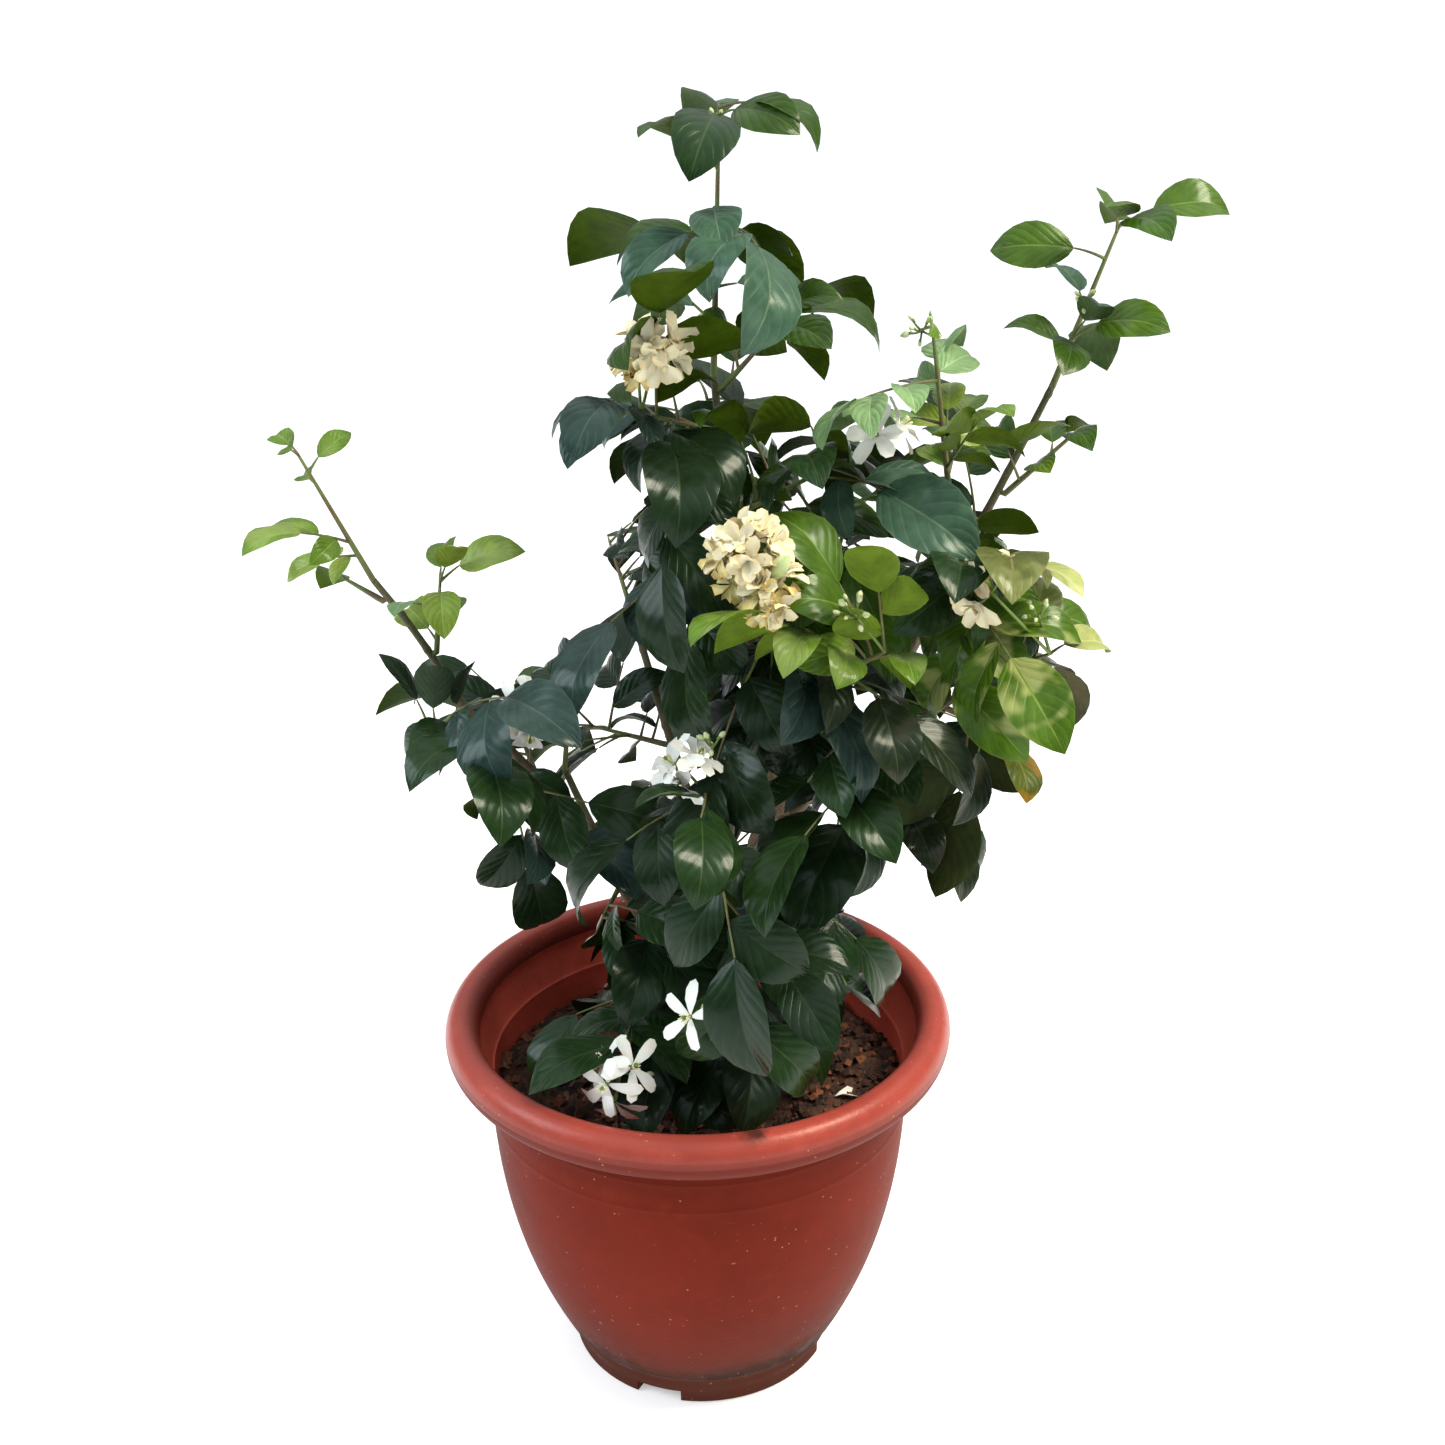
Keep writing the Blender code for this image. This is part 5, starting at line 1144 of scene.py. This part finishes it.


# Clay clouded and mottled by noise, with painted shade by height under the rim and on the rim's lower side,
# dust and a grime line low down, darker towards the bottom, a dark spot on the rim, pale specks and level
# scratches.
def potFinish(name, clay, base, gloss, shade):
    look = potLook
    start, end, share, left = shade
    deep, pale, shaded = (tuple(c * part for c in clay) for part in (look["deeper"], look["paler"], left))
    pot = Finish(name, clay, base, Specular_IOR_Level=gloss, Specular_Tint=look["tint"])
    where = pot.place()
    height = pot.split(where)[2]
    cloud, mottle = pot.noise(where, 9, 5, 0.6), pot.noise(where, 55, 5, 0.65)
    fine = pot.noise(where, 480, 3, 0.6)
    tone = pot.mix(cloud.step(0.38, 0.66) * 0.7, clay, deep)
    tone = pot.mix(mottle.step(0.48, 0.72) * 0.45, tone, pale)
    # painted shade: darker between the heights that shade gives, under the rim and on the rim's lower side
    tone = pot.mix(height.step(start, end) * share, tone, shaded)
    low = height.step(*look["low"])
    dirt = (mottle + low * 0.30).step(0.58, 0.86) * (low * 0.65 + 0.10)
    tone = pot.mix(dirt, tone, look["dust"])
    line = height.step(*look["lineUp"]) * height.step(*look["lineDown"]) * cloud.step(0.32, 0.60)
    # darker towards the bottom
    line = line + height.step(*look["darkerDown"]) * 0.75
    # a dark spot on the rim's front
    apart = pot.number("Value", "ShaderNodeVectorMath", {0: where, 1: look["rimSpot"]}, operation="DISTANCE")
    rimSpot = (apart + mottle * 0.016).step(look["rimSpotSize"], look["rimSpotSize"] * 0.6)
    tone = pot.mix((line * 0.55).reckon("MAXIMUM", rimSpot * 0.85), tone, look["grime"])
    speck = pot.number("Distance", "ShaderNodeTexVoronoi", {"Vector": where, "Scale": look["speckScale"]})
    speck = speck.step(0.14, 0.07) * pot.noise(where, 40, 2).step(0.50, 0.60)
    tone = pot.mix(speck * 0.55, tone, look["speck"])
    scratch = pot.noise(pot.place((30, 30, 400)), 1.0, 4, 0.7).step(0.66, 0.70) * 0.30
    tone = pot.mix(scratch, tone, pale)
    bumps = mottle * 0.6 + (fine + scratch * -2.0)
    return pot.wire(tone, pot.bump(bumps, 0.0005, 0.35), mottle * 0.22 + (dirt * 0.30 + (base - 0.11)))


points, faces, slots = potSurface()
look = potLook
# the rim and the inner wall wear clay lighter than the body's: painted light
potFinishes = [potFinish("terracottaPlastic", look["clay"], 0.50, 0.05, look["bodyShade"]),
               potFinish("polishedRim", look["litRimClay"], 0.32, 0.38, look["rimShade"]),
               potFinish("rimLip", look["litRimClay"], 0.36, 0.20, look["rimShade"]),
               potFinish("rimUnderside", look["litRimClay"], 0.44, 0.05, look["rimShade"]),
               potFinish("innerWall", look["litInnerClay"], 0.46, 0.16, look["noShade"])]
potPiece = putMesh("potShell", points, faces, potFinishes, slots, sharp=look["sharp"])
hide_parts("pot")
print("pot:", len(points), "points")


# Soil and its crumbs.
soilLook = dict(radius=0.1218, rings=70, sides=200, grain=0.0015, waves=9, waveNumber=180, tighter=1.32,
                lower=0.75, dip=0.004, skirt=0.012, crumbs=2600, crumb=(0.0009, 0.0052), clear=0.012,
                squash=0.8, sharp=40, shares=(0.52, 0.26, 0.17, 0.05),
                earth=(0.092, 0.041, 0.024), red=(0.270, 0.094, 0.044), dark=(0.026, 0.018, 0.016),
                bits=(0.230, 0.130, 0.080))


# The source's lumpy height, roughened by crossed waves that tighten, over a disc of rings.
def soilSurface():
    look, rng = soilLook, np.random.default_rng(5)
    sides, rings = look["sides"], look["rings"]
    share = np.linspace(0.02, 1, rings)[:, None]
    turn = (np.arange(sides) * circle / sides)[None]
    x, y = look["radius"] * share * np.cos(turn), look["radius"] * share * np.sin(turn)
    z = soilHeight(x, y)
    for k in range(look["waves"]):
        a, f = rng.uniform(0, circle), look["waveNumber"] * look["tighter"] ** k
        one = np.sin(f * (x * math.cos(a) + y * math.sin(a)) + rng.uniform(0, 6))
        other = np.sin(f * 0.8 * (y * math.cos(a) - x * math.sin(a)) + rng.uniform(0, 6))
        z = z + look["grain"] * look["lower"] ** k * one * other
    z += rng.normal(0, 0.0003, z.shape)
    z[-1] = growth["soil"] - look["dip"]
    bottom = growth["soil"] - look["skirt"]
    top = np.stack((x, y, z), -1).reshape(-1, 3)
    skirt = np.stack((x[-1], y[-1], np.full(sides, bottom)), -1)
    points = np.concatenate(([(0, 0, z[0].mean())], top, skirt, [(0, 0, bottom)]))
    k, j, last = np.arange(sides), 1 + np.arange(rings)[:, None] * sides, 1 + rings * sides
    after = (k + 1) % sides
    quads = facesOf(j + k, j + sides + k, j + sides + after, j + after)
    return points, [quads, facesOf(0, 1 + k, 1 + after), facesOf(len(points) - 1, last + after, last + k)]


# Crumbs are small lumps of eight points, squashed and turned, scattered and half sunk in the surface.
def crumbSurface():
    look, rng = soilLook, np.random.default_rng(8)
    count = look["crumbs"]
    far, turn = look["radius"] * np.sqrt(rng.uniform(0.002, 0.97, count)), rng.uniform(0, circle, count)
    x, y = far * np.cos(turn), far * np.sin(turn)
    clear = np.hypot(x - growth["foot"][0], y - growth["foot"][1]) > look["clear"]
    x, y = x[clear], y[clear]
    count, (small, large) = len(x), look["crumb"]
    size = small + (large - small) * rng.uniform(0, 1, count) ** 2.6
    ring = [(math.cos(a), math.sin(a), 0.35 * (-1) ** k) for k, a in enumerate(np.arange(6) * math.pi / 3)]
    shape = np.array([(0.1, 0, 0.85), *ring, (0, 0.1, -0.8)])
    local = shape * rng.uniform(0.7, 1.3, (count, len(shape), 3)) * size[:, None, None]
    a = rng.uniform(0, circle, count)[:, None]
    aside, ahead = local[..., 0], local[..., 1]
    z = (soilHeight(x, y) + size * 0.35 + 0.0004)[:, None] + local[..., 2] * look["squash"]
    points = np.stack((x[:, None] + aside * np.cos(a) - ahead * np.sin(a),
                       y[:, None] + aside * np.sin(a) + ahead * np.cos(a), z), -1)
    k, after = 1 + np.arange(6), 1 + (np.arange(6) + 1) % 6
    fan = np.concatenate((facesOf(0, k, after), facesOf(7, after, k)))
    faces = (np.arange(count)[:, None, None] * len(shape) + fan).reshape(-1, 3)
    kinds = rng.choice(len(look["shares"]), count, p=look["shares"])
    return points.reshape(-1, 3), [faces], [np.repeat(kinds, len(fan))]


# Two earths in clouds of noise, with red grains.
def soilFinish(name, colour, other):
    earth = Finish(name, colour, 0.95)
    where = earth.place()
    cloud, grain = earth.noise(where, 60, 6, 0.7), earth.noise(where, 700, 5, 0.7)
    tone = earth.mix(cloud.step(0.42, 0.64), colour, other)
    tone = earth.mix(grain.step(0.55, 0.75) * 0.6, tone, soilLook["red"])
    return earth.wire(tone, earth.bump(grain + cloud, 0.0012, 0.9))


look = soilLook
points, faces = soilSurface()
soilPiece = putMesh("soilBed", points, faces, [soilFinish("dampSoil", look["earth"], look["dark"])])
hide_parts("soil")
points, faces, slots = crumbSurface()
crumbFinishes = [soilFinish("darkCrumb", look["earth"], look["dark"]),
                 soilFinish("redCrumb", look["red"], look["earth"]),
                 soilFinish("blackCrumb", look["dark"], look["earth"]),
                 soilFinish("paleCrumb", look["bits"], look["red"])]
crumbPiece = putMesh("soilCrumbs", points, faces, crumbFinishes, slots, sharp=look["sharp"])
print("soil:", len(points) // 8, "crumbs")


# Floor, light and camera. glow is the floor's own light, wall what the camera sees behind the plant, top and
# side how bright the dome is there, and front the share of side that comes from the front. backward and
# downward say between which directions the dome changes.
stageLook = dict(floor=(0.92, 0.92, 0.92), glow=0.38, wall=1.08, side=0.30, top=1.30, front=0.30,
                 sky=(0.93, 0.97, 1.0), reach=80.0, backward=(-0.55, 0.65), downward=(0.78, 0.30))
lights = {
    "sunSide": dict(place=(1.10, -0.35, 1.85), aim=(0.05, 0.0, 0.42), size=0.70, power=43,
                    colour=(1.0, 0.87, 0.68)),
    "skySide": dict(place=(-1.45, -0.30, 1.20), aim=(0.0, 0.0, 0.35), size=0.90, power=15,
                    colour=(0.86, 0.93, 1.0)),
}
# the photograph's place: in front, 0.78 m up, looking down 22 degrees, measured from the pot's rim and foot
cameraLook = dict(place=(0.0, -0.907, 0.775), pitch=21.97, yaw=1.04, roll=-0.59, focal=1750.0, frame=1445.0,
                  sensor=36.0)

look = stageLook
r = look["reach"]
floorMesh = bpy.data.meshes.new("floor")
floorMesh.from_pydata([(-r, -r, 0), (r, -r, 0), (r, r, 0), (-r, r, 0)], [], [(0, 1, 2, 3)])
floor = bpy.data.objects.new("floor", floorMesh)
bpy.context.scene.collection.objects.link(floor)
white = (1.0, 1.0, 1.0, 1.0)
floorMesh.materials.append(Finish("paleFloor", look["floor"], 0.9, Emission_Color=white,
                                  Emission_Strength=look["glow"]).made)

# The studio is bright overhead and at the back and dim in front, and its wall shows white behind the plant.
studio = Graph(bpy.data.worlds.new("studio"))
aim = studio.split(studio.add("ShaderNodeTexCoord").outputs["Generated"])
start, end = look["backward"]
walls = studio.number(0, "ShaderNodeMapRange", {0: aim[1], 1: start, 2: end, 3: look["front"] * look["side"],
                                                4: look["side"]})
start, end = look["downward"]
sky = studio.number(0, "ShaderNodeMapRange", {0: aim[2], 1: start, 2: end, 3: look["top"], 4: walls})
seen = studio.number("Is Camera Ray", "ShaderNodeLightPath")
studio.fill(studio.nodes["Background"], {"Strength": sky.reckon("MAXIMUM", seen * look["wall"]),
                                         "Color": (*look["sky"], 1.0)})
bpy.context.scene.world = studio.made

for name, look in lights.items():
    lamp = bpy.data.lights.new(name, "AREA")
    lamp.shape, lamp.size, lamp.energy, lamp.color = "DISK", look["size"], look["power"], look["colour"]
    holder = bpy.data.objects.new(name, lamp)
    holder.location = look["place"]
    holder.rotation_euler = (Vector(look["aim"]) - Vector(look["place"])).to_track_quat("-Z", "Y").to_euler()
    bpy.context.scene.collection.objects.link(holder)

look = cameraLook
pitch, yaw, roll = (math.radians(look[key]) for key in ("pitch", "yaw", "roll"))
ahead = Vector((math.sin(yaw) * math.cos(pitch), math.cos(yaw) * math.cos(pitch), -math.sin(pitch)))
level = Vector((math.cos(yaw), -math.sin(yaw), 0.0))
over = level.cross(ahead)
right, over = around(level, over, roll), over * math.cos(roll) - level * math.sin(roll)
lens = bpy.data.cameras.new("photoView")
lens.sensor_fit, lens.sensor_width = "HORIZONTAL", look["sensor"]
lens.lens = look["sensor"] * look["focal"] / look["frame"]
camera = bpy.data.objects.new("photoView", lens)
rows = [(right[k], over[k], -ahead[k], look["place"][k]) for k in range(3)]
camera.matrix_world = Matrix([*rows, (0, 0, 0, 1)])
bpy.context.scene.collection.objects.link(camera)
bpy.context.scene.camera = camera
bpy.context.scene.view_settings.view_transform = "Standard"
print("camera, floor and lights")
